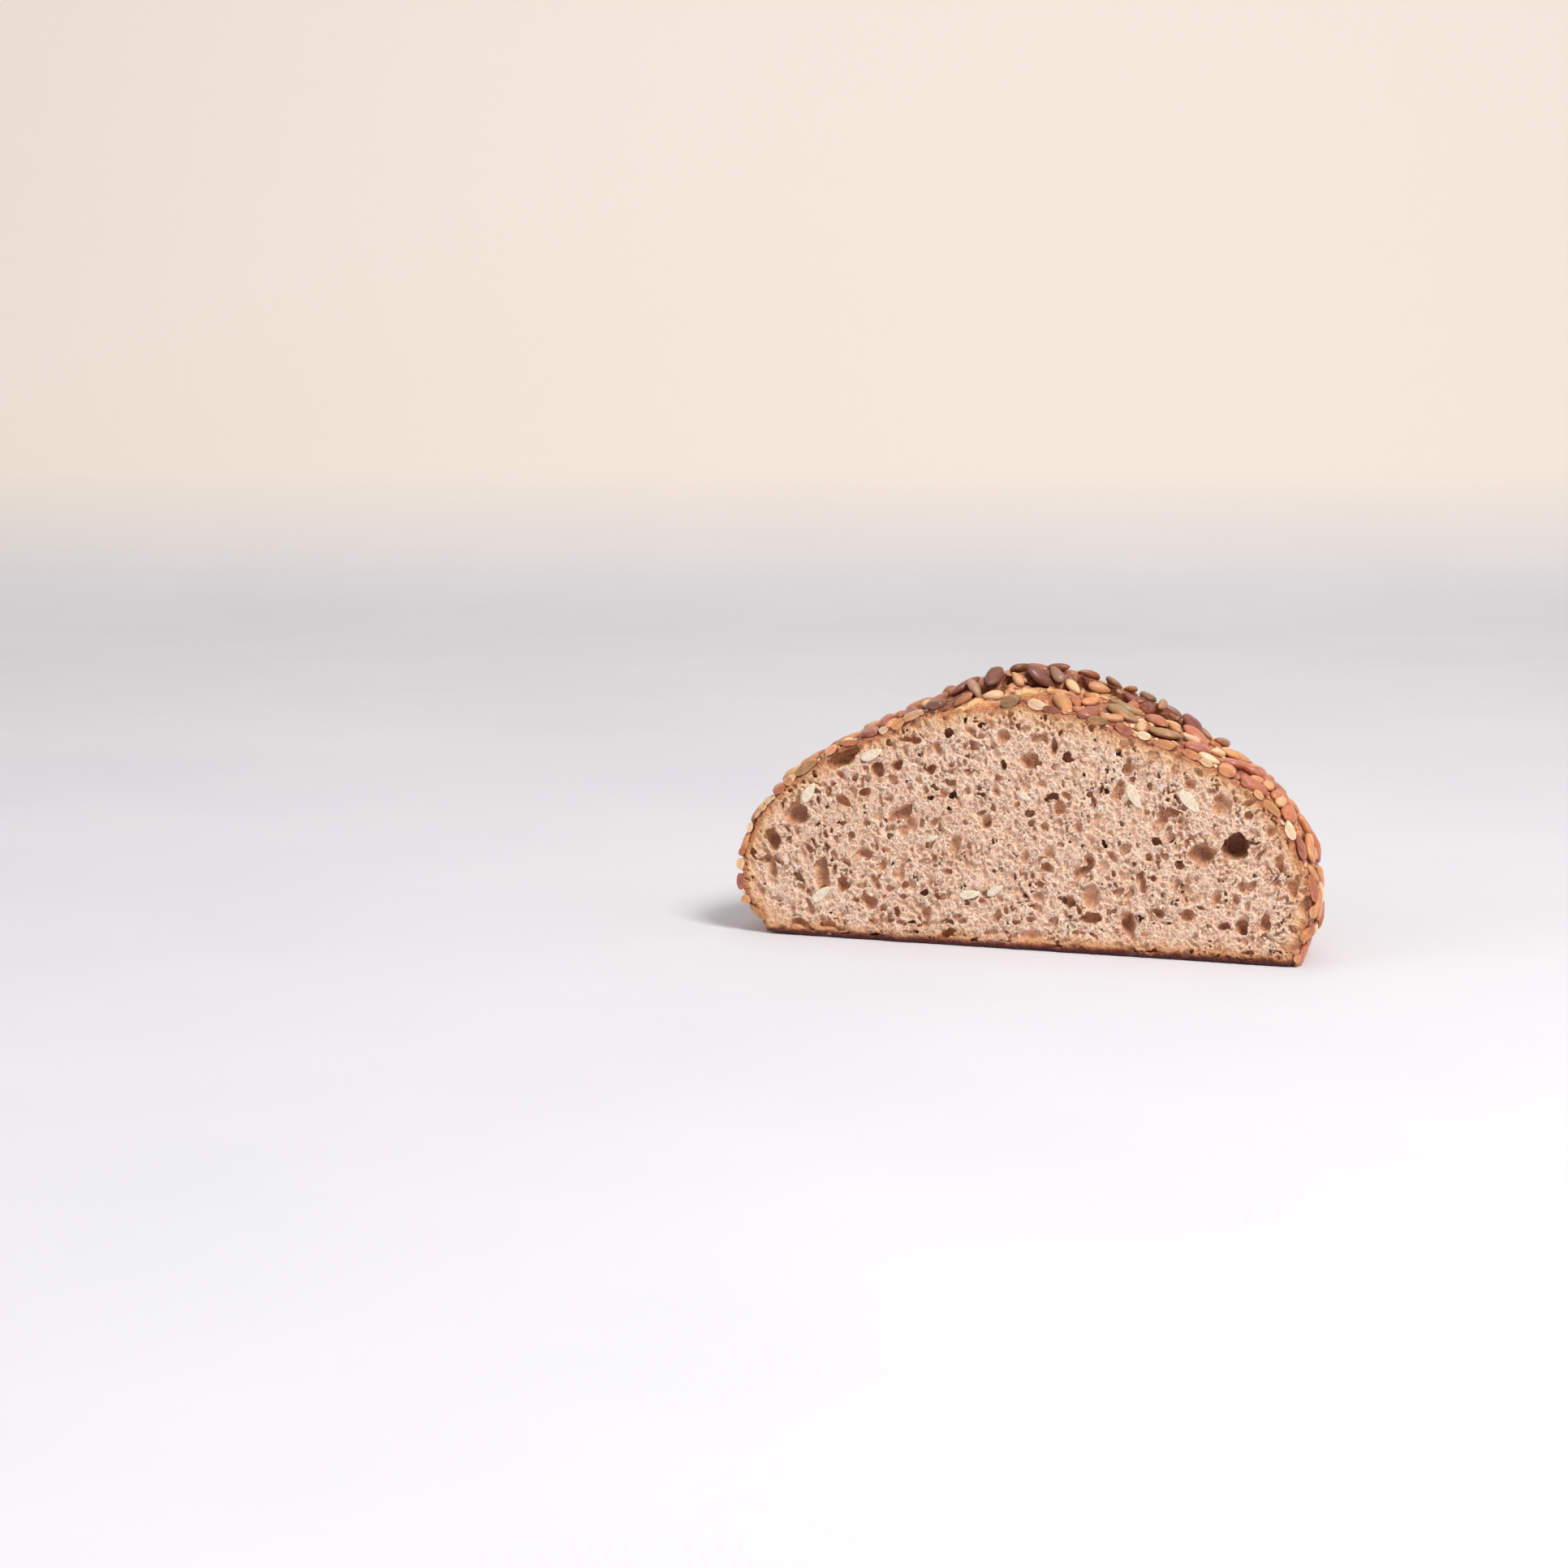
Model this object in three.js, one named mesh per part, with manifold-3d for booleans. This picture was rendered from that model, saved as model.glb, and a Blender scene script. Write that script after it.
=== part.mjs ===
// Half of a round seeded sourdough loaf, cut across with a knife, standing on its baked base.
// Units are millimetres and +Z is up. The origin is at the middle of the underside.
// The flat cut face looks along -Y, and the rounded end of the loaf lies towards +Y.
import * as THREE from "three";
import { mergeVertices } from "three/addons/utils/BufferGeometryUtils.js";
import Module from "manifold-3d";

// --- Driving dimensions ---
const HALF_DEPTH = 118; // from the cut face to the rounded end, seeds included
const CUT_OFFSET = 13; // the knife passed this far behind the middle of the loaf
const LOAF_WIDTH = 230; // side to side, over the seeds
const DOME_HEIGHT = 89; // base to crown, before the score opened
const BELLY_HEIGHT = 21; // where the loaf is widest
const FOOT_SHARE = 0.85; // flat base radius as a share of the widest radius
const FOOT_LEAN = 0.03; // how much wider the base is towards +X, and narrower towards -X
const FOOT_POWER = 1.9; // roundness of the turn from the side to the base
const RIGHT_POWER = 2.3; // fullness of the dome towards +X; 2 is an ellipse
const LEFT_POWER = 2.15;
const BACK_POWER = 3.1;

const CUT_Y = -HALF_DEPTH / 2;
const CENTRE_Y = CUT_Y - CUT_OFFSET;
const RADIUS_Y = HALF_DEPTH + CUT_OFFSET;
const RADIUS_X = LOAF_WIDTH / 2;

// --- The burst: the dough rose and tore open along the blade's score ---
const SWELL_HEIGHT = 14; // broad rise of the crown round the score
const SWELL_CENTRE = new THREE.Vector2(-4, CUT_Y + 42);
const SWELL_REACH = new THREE.Vector2(42, 55);
const SWELL_FADE = 0.25; // share of the radius over which the rise dies away at the side
const SCORE_START = new THREE.Vector2(-42, CUT_Y - 14); // plan points of the torn edge
const SCORE_BEND = new THREE.Vector2(6, CUT_Y + 46);
const SCORE_END = new THREE.Vector2(86, CUT_Y + 50);
const LIP_HEIGHT = 4; // the lifted lip behind the tear
const LIP_RISE = 6; // how far back from the tear the lip reaches its full height
const LIP_REACH = 15; // how far back it dies away
const TEAR_DEPTH = 3; // groove in front of the lip
const TEAR_WIDTH = 5;

// --- Mesh density ---
const FOOT_RINGS = 8; // on the turn under the belly
const DOME_RINGS = 46; // from the belly to the crown, evenly spaced along the surface
const BASE_RINGS = 3;
const AROUND_STEPS = 108;

const scoreLine = new THREE.QuadraticBezierCurve(SCORE_START, SCORE_BEND, SCORE_END);
const SCORE_SAMPLES = scoreLine.getPoints(48);

// Signed distance in plan from the torn edge: positive behind it, on the side of the lip.
function fromScore(x, y) {
  let best = Infinity;
  let signed = 0;
  let along = 0;
  for (let i = 0; i + 1 < SCORE_SAMPLES.length; i++) {
    const a = SCORE_SAMPLES[i];
    const b = SCORE_SAMPLES[i + 1];
    const ex = b.x - a.x;
    const ey = b.y - a.y;
    const t = THREE.MathUtils.clamp(((x - a.x) * ex + (y - a.y) * ey) / (ex * ex + ey * ey), 0, 1);
    const dx = x - a.x - t * ex;
    const dy = y - a.y - t * ey;
    const distance = Math.hypot(dx, dy);
    if (distance < best) {
      best = distance;
      signed = Math.sign(ex * dy - ey * dx) * distance;
      along = (i + t) / (SCORE_SAMPLES.length - 1);
    }
  }
  return { signed, along };
}

// Extra height of the crown round the burst, fading out towards the far end of the score.
function burstLift(x, y, share) {
  const across = (x - SWELL_CENTRE.x) / SWELL_REACH.x;
  const back = (y - SWELL_CENTRE.y) / SWELL_REACH.y;
  const swell = SWELL_HEIGHT * Math.exp(-(across ** 2) - back ** 2);
  const { signed, along } = fromScore(x, y);
  const fade = 1 - THREE.MathUtils.smoothstep(along, 0.7, 1);
  const rise = THREE.MathUtils.smoothstep(signed, 0, LIP_RISE);
  const lip = LIP_HEIGHT * rise * Math.exp(-((signed / LIP_REACH) ** 2));
  const tear = TEAR_DEPTH * Math.exp(-((signed / TEAR_WIDTH) ** 2));
  const inside = THREE.MathUtils.smoothstep(1 - share, 0, SWELL_FADE);
  return (swell + (lip - tear) * fade) * inside;
}

// Fullness of the dome in one direction from the middle of the loaf.
function domePower(angle) {
  const sideways = Math.cos(angle);
  const lopsided = ((RIGHT_POWER - LEFT_POWER) / 2) * sideways;
  const flanks = (RIGHT_POWER + LEFT_POWER) / 2 - BACK_POWER;
  return BACK_POWER + lopsided + flanks * sideways ** 2;
}

// Radius of the flat base in one direction, as a share of the widest radius.
function footShare(angle) {
  return FOOT_SHARE + FOOT_LEAN * Math.cos(angle);
}

// Radius share and height on the turn from the base (turn 0) up to the belly (turn 90 degrees).
function footPoint(turn, angle) {
  const flat = footShare(angle);
  const out = Math.sin(turn) ** (2 / FOOT_POWER);
  const down = Math.cos(turn) ** (2 / FOOT_POWER);
  return { share: flat + (1 - flat) * out, z: BELLY_HEIGHT * (1 - down) };
}

// Radius share and height on the dome, from the belly (turn 0) to the crown (turn 90 degrees).
function domePoint(turn, power) {
  const up = Math.sin(turn) ** (2 / power);
  const share = Math.cos(turn) ** (2 / power);
  return { share, z: BELLY_HEIGHT + (DOME_HEIGHT - BELLY_HEIGHT) * up };
}

// Turns that space the dome's rings evenly along its surface, without the crown itself.
function evenTurns(count) {
  const fine = 2000;
  const lengths = [0];
  let last = domePoint(0, BACK_POWER);
  for (let i = 1; i <= fine; i++) {
    const point = domePoint((i / fine) * (Math.PI / 2), BACK_POWER);
    const step = Math.hypot((point.share - last.share) * RADIUS_X, point.z - last.z);
    lengths.push(lengths[i - 1] + step);
    last = point;
  }
  const turns = [];
  let i = 0;
  for (let k = 0; k < count; k++) {
    while (lengths[i] < (k / count) * lengths[fine]) i++;
    turns.push((i / fine) * (Math.PI / 2));
  }
  return turns;
}

// Gentle unevenness of a hand-shaped loaf, as a share of the radius.
function unevenness(angle, share) {
  return share * (0.008 * Math.sin(2 * angle + 0.7) + 0.006 * Math.sin(5 * angle + 2.1));
}

// The whole loaf as one closed mesh: a flat base, the turned-up foot and the dome.
function wholeLoaf() {
  const positions = [];
  const indices = [];
  const rings = [];

  function addRing(pointAt) {
    const ring = [];
    for (let j = 0; j < AROUND_STEPS; j++) {
      const angle = (j / AROUND_STEPS) * 2 * Math.PI;
      const { share, z } = pointAt(angle);
      const reach = share + unevenness(angle, share);
      const x = RADIUS_X * reach * Math.cos(angle);
      const y = CENTRE_Y + RADIUS_Y * reach * Math.sin(angle);
      const lift = z > BELLY_HEIGHT ? burstLift(x, y, share) : 0;
      ring.push(positions.length / 3);
      positions.push(x, y, z + lift);
    }
    rings.push(ring);
  }

  for (let k = 1; k <= BASE_RINGS; k++) {
    addRing((angle) => ({ share: (footShare(angle) * k) / (BASE_RINGS + 1), z: 0 }));
  }
  for (let i = 0; i < FOOT_RINGS; i++) {
    addRing((angle) => footPoint((i / FOOT_RINGS) * (Math.PI / 2), angle));
  }
  for (const turn of evenTurns(DOME_RINGS)) {
    addRing((angle) => domePoint(turn, domePower(angle)));
  }
  const under = positions.length / 3;
  positions.push(0, CENTRE_Y, 0);
  const crown = under + 1;
  positions.push(0, CENTRE_Y, DOME_HEIGHT + burstLift(0, CENTRE_Y, 0));

  const last = rings[rings.length - 1];
  for (let j = 0; j < AROUND_STEPS; j++) {
    const next = (j + 1) % AROUND_STEPS;
    indices.push(under, rings[0][next], rings[0][j]);
    for (let r = 0; r + 1 < rings.length; r++) {
      const low = rings[r];
      const high = rings[r + 1];
      indices.push(low[j], low[next], high[next], low[j], high[next], high[j]);
    }
    indices.push(last[j], last[next], crown);
  }

  const geometry = new THREE.BufferGeometry();
  geometry.setAttribute("position", new THREE.Float32BufferAttribute(positions, 3));
  geometry.setIndex(indices);
  return geometry;
}

// --- The cut, made with a solid boolean ---
const wasm = await Module();
wasm.setup();

function toSolid(geometry) {
  const bare = geometry.clone();
  bare.deleteAttribute("normal");
  bare.deleteAttribute("uv");
  const merged = mergeVertices(bare, 1e-4);
  return new wasm.Manifold(
    new wasm.Mesh({
      numProp: 3,
      vertProperties: new Float32Array(merged.attributes.position.array),
      triVerts: new Uint32Array(merged.index.array),
    }),
  );
}

function toGeometry(solid) {
  const mesh = solid.getMesh();
  const geometry = new THREE.BufferGeometry();
  geometry.setAttribute("position", new THREE.BufferAttribute(mesh.vertProperties, 3));
  geometry.setIndex(new THREE.BufferAttribute(mesh.triVerts, 1));
  return geometry;
}

// Everything in front of the knife's plane is taken away.
function inFrontOfTheCut() {
  const size = 4 * LOAF_WIDTH;
  const block = new THREE.BoxGeometry(size, size, size);
  block.translate(0, CUT_Y - size / 2, 0);
  return block;
}

const half = toGeometry(toSolid(wholeLoaf()).subtract(toSolid(inFrontOfTheCut())));

// The origin goes exactly to the middle of the underside.
half.computeBoundingBox();
const middle = half.boundingBox.getCenter(new THREE.Vector3());
half.translate(-middle.x, -middle.y, 0);

const crust = new THREE.MeshStandardMaterial({ color: 0xa5683f, roughness: 0.85, metalness: 0 });
const halfLoaf = new THREE.Mesh(half, crust);
halfLoaf.name = "half_loaf";

const loaf = new THREE.Group();
loaf.add(halfLoaf);

export default loaf;
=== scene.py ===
# %% [markdown]
# # Half of a seeded sourdough loaf
#
# This lesson builds the looks of half a round sourdough loaf: the cut crumb with its pores, the
# baked crust with a burst score, and the pumpkin, sunflower and sesame seeds stuck all over it.
# The plain solid from the CAD model is loaded first. It fixes the size, the place and the frame:
# +Z is up, the cut face looks along -Y, and the rounded end of the loaf lies towards +Y.

# %% Load the frame
import math
import time

import bpy
import bmesh
import numpy as np
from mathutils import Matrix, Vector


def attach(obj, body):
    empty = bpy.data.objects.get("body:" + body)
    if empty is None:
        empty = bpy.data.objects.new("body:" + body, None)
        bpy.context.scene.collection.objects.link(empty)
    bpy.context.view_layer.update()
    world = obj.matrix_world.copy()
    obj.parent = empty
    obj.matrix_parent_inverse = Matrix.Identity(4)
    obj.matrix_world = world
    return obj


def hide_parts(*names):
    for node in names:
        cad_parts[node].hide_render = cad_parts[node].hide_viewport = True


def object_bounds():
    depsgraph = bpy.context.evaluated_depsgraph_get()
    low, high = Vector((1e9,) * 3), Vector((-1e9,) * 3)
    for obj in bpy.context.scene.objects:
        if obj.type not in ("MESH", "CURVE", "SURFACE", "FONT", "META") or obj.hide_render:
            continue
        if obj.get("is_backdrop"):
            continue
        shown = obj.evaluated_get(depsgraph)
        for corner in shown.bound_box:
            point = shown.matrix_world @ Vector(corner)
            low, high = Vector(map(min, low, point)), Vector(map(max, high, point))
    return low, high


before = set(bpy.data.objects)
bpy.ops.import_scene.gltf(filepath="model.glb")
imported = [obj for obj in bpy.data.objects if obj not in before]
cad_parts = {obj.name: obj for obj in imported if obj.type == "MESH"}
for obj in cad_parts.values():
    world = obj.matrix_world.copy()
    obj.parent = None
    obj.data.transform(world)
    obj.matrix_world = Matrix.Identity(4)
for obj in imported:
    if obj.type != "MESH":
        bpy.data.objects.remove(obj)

import openvdb
from mathutils import Matrix, Vector

CAD_LOW, CAD_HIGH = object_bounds()
MM = 0.001
START = time.time()


def say(*words):
    print(f"[{time.time() - START:6.1f} s]", *words)


say("the CAD box is", [round(1000 * (b - a), 1) for a, b in zip(CAD_LOW, CAD_HIGH)], "mm")

# %% [markdown]
# ## The camera
#
# A loaf like this is looked at from a little above the table, slightly from one side, through a
# long lens that keeps its proportions. The camera could be aimed with a constraint, but a plain
# direction and distance are easier to read and to change, so it is placed by two angles.

# %% Place the camera
CAMERA_AZIMUTH = math.radians(19.0)
CAMERA_ELEVATION = math.radians(8.64)
CAMERA_DISTANCE = 1.392
LENS = 85.0
SENSOR = 36.0
FRAME_OFFSET = Vector((0.1502, -0.1059))  # where the foot of the cut face sits, in frame widths

CUT_FOOT = Vector((0.0, CAD_LOW.y, 0.0))


def make_camera():
    data = bpy.data.cameras.new("camera")
    data.lens = LENS
    data.sensor_width = SENSOR
    camera = bpy.data.objects.new("camera", data)
    bpy.context.scene.collection.objects.link(camera)
    forward = Vector((
        -math.sin(CAMERA_AZIMUTH) * math.cos(CAMERA_ELEVATION),
        math.cos(CAMERA_AZIMUTH) * math.cos(CAMERA_ELEVATION),
        -math.sin(CAMERA_ELEVATION),
    ))
    right = Vector((math.cos(CAMERA_AZIMUTH), math.sin(CAMERA_AZIMUTH), 0.0))
    up = right.cross(forward)
    width = SENSOR / LENS
    ray = forward + right * (FRAME_OFFSET.x * width) + up * (FRAME_OFFSET.y * width)
    camera.location = CUT_FOOT - ray * CAMERA_DISTANCE
    camera.rotation_mode = "QUATERNION"
    camera.rotation_quaternion = forward.to_track_quat("-Z", "Y")
    bpy.context.scene.camera = camera
    return camera


camera = make_camera()
say("the camera stands at", [round(v, 3) for v in camera.location])

# %% [markdown]
# ## The shape of the loaf
#
# A boule is a flattened ball with a flat foot, and this one rose and tore along the baker's score,
# so its crown is lifted on one side. The shape could be sculpted point by point. Instead it is one
# formula, a superellipse dome over a rounded foot, because then the crust, the crumb and the seeds
# can all ask the same formula how far they are from the skin, and they fit each other exactly.
# All sizes in the formula are millimetres.

# %% The loaf's formula
BOX_LOW = np.array(CAD_LOW) / MM
BOX_HIGH = np.array(CAD_HIGH) / MM
CUT_Y = BOX_LOW[1]
CUT_OFFSET = 13.0  # the middle of the whole loaf lay this far in front of the cut
CENTRE_X = -0.65
CENTRE_Y = CUT_Y - CUT_OFFSET
RADIUS_X = 115.0
RADIUS_Y = BOX_HIGH[1] - BOX_LOW[1] + CUT_OFFSET
DOME_HEIGHT = 89.0
BELLY_HEIGHT = 21.0
FOOT_SHARE = 0.85  # how wide the flat base is, as a share of the loaf
FOOT_LEAN = 0.03  # the base reaches this much further out on the right, and less on the left
FOOT_POWER = 1.9  # 2 rounds the foot like a circle, less makes it straighter
RIGHT_POWER, LEFT_POWER, BACK_POWER = 2.3, 2.15, 3.1  # 2 is a plain ball, more is boxier

SWELL_HEIGHT = 14.0  # how far the burst raised the crown
SWELL_CENTRE = (-4.6, CUT_Y + 42.0)
SWELL_REACH = (42.0, 55.0)

# The score seen from above is a curve: its start, the spot that pulls it aside, and its end.
SCORE = ((-42.0, CUT_Y - 14.0), (6.0, CUT_Y + 46.0), (86.0, CUT_Y + 50.0))
LIP_HEIGHT = 3.2
LIP_REACH = 13.0
FAR = 1e9


def ease(value, low, high):
    t = np.clip((value - low) / (high - low), 0.0, 1.0)
    return t * t * (3.0 - 2.0 * t)


def hump(value, width):
    return np.exp(-((value / width) ** 2))


def score_distance(x, y):
    """Plan distance from the score line, positive behind it, and how far along it runs (0 to 1)."""
    (ax, ay), (bx, by), (cx, cy) = SCORE
    best = np.full(np.shape(x), FAR)
    side = np.zeros(np.shape(x))
    along = np.zeros(np.shape(x))
    steps = 40
    t = np.linspace(0.0, 1.0, steps + 1)
    px = (1 - t) ** 2 * ax + 2 * t * (1 - t) * bx + t * t * cx
    py = (1 - t) ** 2 * ay + 2 * t * (1 - t) * by + t * t * cy
    for i in range(steps):
        ex, ey = px[i + 1] - px[i], py[i + 1] - py[i]
        part = np.clip(((x - px[i]) * ex + (y - py[i]) * ey) / (ex * ex + ey * ey), 0, 1)
        dx, dy = x - px[i] - part * ex, y - py[i] - part * ey
        away = np.hypot(dx, dy)
        closer = away < best
        best = np.where(closer, away, best)
        side = np.where(closer, np.sign(ex * dy - ey * dx), side)
        along = np.where(closer, (i + part) / steps, along)
    return best * side, along


def crown_lift(x, y):
    """How much the burst lifts the dome above its plain shape."""
    share = np.hypot((x - CENTRE_X) / RADIUS_X, (y - CENTRE_Y) / RADIUS_Y)
    swell = SWELL_HEIGHT * hump(x - SWELL_CENTRE[0], SWELL_REACH[0])
    swell = swell * hump(y - SWELL_CENTRE[1], SWELL_REACH[1])
    signed, along = score_distance(x, y)
    fade = 1.0 - ease(along, 0.7, 1.0)
    lip = LIP_HEIGHT * ease(signed, -0.5, 2.5) * hump(signed, LIP_REACH)
    return (swell + lip * fade) * ease(1.0 - share, 0.0, 0.25)


def skin_levels(x, y, z, lift):
    """Two levels, the dome's and the foot's: below 1 inside, 1 on the skin, above 1 outside."""
    across, back = (x - CENTRE_X) / RADIUS_X, (y - CENTRE_Y) / RADIUS_Y
    share = np.hypot(across, back) + 1e-6
    cosine = across / share
    power = BACK_POWER + (RIGHT_POWER - LEFT_POWER) / 2 * cosine
    power = power + ((RIGHT_POWER + LEFT_POWER) / 2 - BACK_POWER) * cosine ** 2
    rise = (z - lift * ease(z, BELLY_HEIGHT, 70.0) - BELLY_HEIGHT) / (DOME_HEIGHT - BELLY_HEIGHT)
    dome = (share ** power + np.maximum(rise, 0.0) ** power) ** (1.0 / power)
    flat = FOOT_SHARE + FOOT_LEAN * cosine
    flare = np.maximum(share - flat, 0.0) / (1.0 - flat)
    drop = np.maximum(BELLY_HEIGHT - z, 0.0) / BELLY_HEIGHT
    foot = (flare ** FOOT_POWER + drop ** FOOT_POWER) ** (1.0 / FOOT_POWER)
    return dome, foot


say("the dome rises to", round(float(DOME_HEIGHT + crown_lift(*map(np.array, SWELL_CENTRE))), 1), "mm")

# %% [markdown]
# ## Blocks of space and smooth noise
#
# A formula that says how far a spot is from the skin can be asked at every small cube of a block of
# space. Bubbles and cracks are then cut out with plain arithmetic, which is quicker and safer than
# cutting meshes with meshes. Nothing in bread is even, so smooth random fields push everything
# about. They depend on the place alone, so two blocks that overlap agree with each other.

# %% Blocks and noise
NOISE_LOW = (-130.0, -75.0, -8.0)
NOISE_HIGH = (130.0, 75.0, 122.0)


class Block:
    """A box of space cut into small cubes, with their centres in millimetres."""

    def __init__(self, low, high, step):
        self.low, self.step = np.array(low, float), step
        self.shape = tuple(int(math.ceil((b - a) / step)) + 1 for a, b in zip(low, high))
        axes = [a + step * np.arange(n, dtype=np.float32) for a, n in zip(low, self.shape)]
        self.x = axes[0][:, None, None]
        self.y = axes[1][None, :, None]
        self.z = axes[2][None, None, :]

    def skin_distance(self):
        """Rough distance from the loaf's skin at every cube, negative inside."""
        plan_x, plan_y = self.x[:, :, 0], self.y[:, :, 0]
        plan_x, plan_y = np.broadcast_arrays(plan_x, plan_y)
        lift = crown_lift(plan_x, plan_y).astype(np.float32)[:, :, None]
        distances = []
        for level in skin_levels(self.x, self.y, self.z, lift):
            level = np.broadcast_to(level, self.shape).astype(np.float32)
            slopes = np.gradient(level, self.step)
            steep = np.sqrt(slopes[0] ** 2 + slopes[1] ** 2 + slopes[2] ** 2)
            distances.append((level - 1.0) / np.maximum(steep, 1e-3))
        return np.where(self.z > BELLY_HEIGHT, distances[0], distances[1])

    def window(self, point, reach):
        """The slices of the cubes within reach of a point."""
        low = np.floor((np.array(point) - reach - self.low) / self.step).astype(int)
        high = np.ceil((np.array(point) + reach - self.low) / self.step).astype(int) + 1
        return tuple(
            slice(max(0, a), max(0, min(n, b))) for a, b, n in zip(low, high, self.shape)
        )

    def places(self, cut):
        """The cube centres inside a window, ready to combine."""
        return self.x[cut[0]], self.y[:, cut[1]], self.z[:, :, cut[2]]


def soft_noise(block, cell, seed):
    """A smooth random field with bumps about `cell` millimetres wide, the same in every block."""
    rng = np.random.default_rng(seed)
    cells = cell if isinstance(cell, tuple) else (cell, cell, cell)
    size = [int((b - a) / c) + 3 for a, b, c in zip(NOISE_LOW, NOISE_HIGH, cells)]
    field = rng.standard_normal(size).astype(np.float32)
    for axis, centres in enumerate((block.x, block.y, block.z)):
        place = (centres.ravel() - NOISE_LOW[axis]) / cells[axis]
        low = place.astype(int)
        t = (place - low).astype(np.float32)
        t = t * t * (3 - 2 * t)
        t = t.reshape([-1 if i == axis else 1 for i in range(3)])
        field = np.take(field, low, axis) * (1 - t) + np.take(field, low + 1, axis) * t
    return field


say("noise is defined over", [b - a for a, b in zip(NOISE_LOW, NOISE_HIGH)], "mm")

# %% [markdown]
# ## From a field to a mesh
#
# The surface of a shape lies where its field is zero. OpenVDB, which comes with Blender, lays small
# squares along it. Loose specks are dropped, squares that look inwards are turned round, and a
# Decimate modifier takes away faces that a flat spot doesn't need.

# %% Surface of a field
def mesh_from_field(name, field, block, faces_wanted):
    """The surface where the field is zero, as a clean triangle mesh in metres."""
    grid = openvdb.FloatGrid()
    grid.copyFromArray(np.ascontiguousarray(field, dtype=np.float32))
    points, quads = grid.convertToQuads(isovalue=0.0)
    points = points.astype(np.float64) * block.step + block.low
    keep, quads = largest_island(len(points), quads)
    points = points[keep]
    if signed_volume(points, quads) < 0:
        quads = quads[:, ::-1]
    mesh = bpy.data.meshes.new(name)
    fill_mesh(mesh, points * MM, quads)
    found = len(quads) * 2
    if found > faces_wanted:
        mesh = thin_out(name, mesh, faces_wanted / found)
    say(name, found, "triangles, kept", sum(len(p.vertices) - 2 for p in mesh.polygons))
    return mesh


def fill_mesh(mesh, points, polygons):
    count, sides = polygons.shape
    mesh.vertices.add(len(points))
    mesh.vertices.foreach_set("co", np.asarray(points, np.float32).ravel())
    mesh.loops.add(count * sides)
    mesh.loops.foreach_set("vertex_index", polygons.astype(np.int32).ravel())
    mesh.polygons.add(count)
    mesh.polygons.foreach_set("loop_start", np.arange(count, dtype=np.int32) * sides)
    mesh.update(calc_edges=True)
    mesh.validate()


def signed_volume(points, quads):
    a, b, c, d = (points[quads[:, i]] for i in range(4))
    return (np.cross(b - a, c - a) * (a - points[0])).sum() + (
        np.cross(c - a, d - a) * (a - points[0])
    ).sum()


def largest_island(count, quads):
    """Drops the loose crumbs of a mesh and keeps its largest connected part."""
    label = np.arange(count)
    while True:
        lowest = label[quads].min(axis=1)
        new = label.copy()
        for i in range(4):
            np.minimum.at(new, quads[:, i], lowest)
        new = new[new]
        if (new == label).all():
            break
        label = new
    names, sizes = np.unique(label[quads[:, 0]], return_counts=True)
    keep = label == names[sizes.argmax()]
    renumber = np.cumsum(keep) - 1
    quads = quads[keep[quads[:, 0]]]
    return keep, renumber[quads]


def thin_out(name, mesh, ratio):
    """Collapses the shortest edges until the wanted share of faces is left."""
    scratch = bpy.data.objects.new(name + "_scratch", mesh)
    bpy.context.scene.collection.objects.link(scratch)
    thin = scratch.modifiers.new("thin", "DECIMATE")
    thin.ratio = ratio
    finished = plain_mesh(scratch, name)
    bpy.data.objects.remove(scratch)
    return finished


def plain_mesh(holder, name):
    """The mesh that an object's modifiers make, as plain mesh data."""
    graph = bpy.context.evaluated_depsgraph_get()
    mesh = bpy.data.meshes.new_from_object(holder.evaluated_get(graph))
    mesh.name = name
    return mesh


# %% [markdown]
# ## Where the dough tore
#
# Behind the score the dough lifted into a lip, and in front of it the fresh dough that pushed out
# baked bare, with no seeds. Masks for these zones could be painted by hand. Here they are worked
# out in plan, from the distance to the score line, so that shape, colour and seeds share them.

# %% Masks of the burst
BARE_WIDTH = 20.0
SKIN_UNDER_SEEDS = 2.0  # the seeds stand on the dough and fill this depth up to the formula's skin
SKIN_WHERE_BARE = 0.7
VALLEY_DEPTH = 4.2  # the bare dough sags this much in front of the lip
VALLEY_PLACE, VALLEY_WIDTH = 7.5, 7.0
CUT_TAPER = 2.6  # the crust shrinks back a little beside a cut
BURST_FROM, BURST_FULL = 45.0, 62.0  # heights between which the burst's marks fade in


def plan_noise(u, v, seed):
    """Smooth random values over any two coordinates, about one bump per unit."""
    table = np.random.default_rng(seed).standard_normal((64, 64))
    i, j = np.floor(u).astype(int), np.floor(v).astype(int)
    s, t = u - i, v - j
    s, t = s * s * (3 - 2 * s), t * t * (3 - 2 * t)
    near = table[i % 64, j % 64] * (1 - s) + table[(i + 1) % 64, j % 64] * s
    far = table[i % 64, (j + 1) % 64] * (1 - s) + table[(i + 1) % 64, (j + 1) % 64] * s
    return near * (1 - t) + far * t


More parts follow.
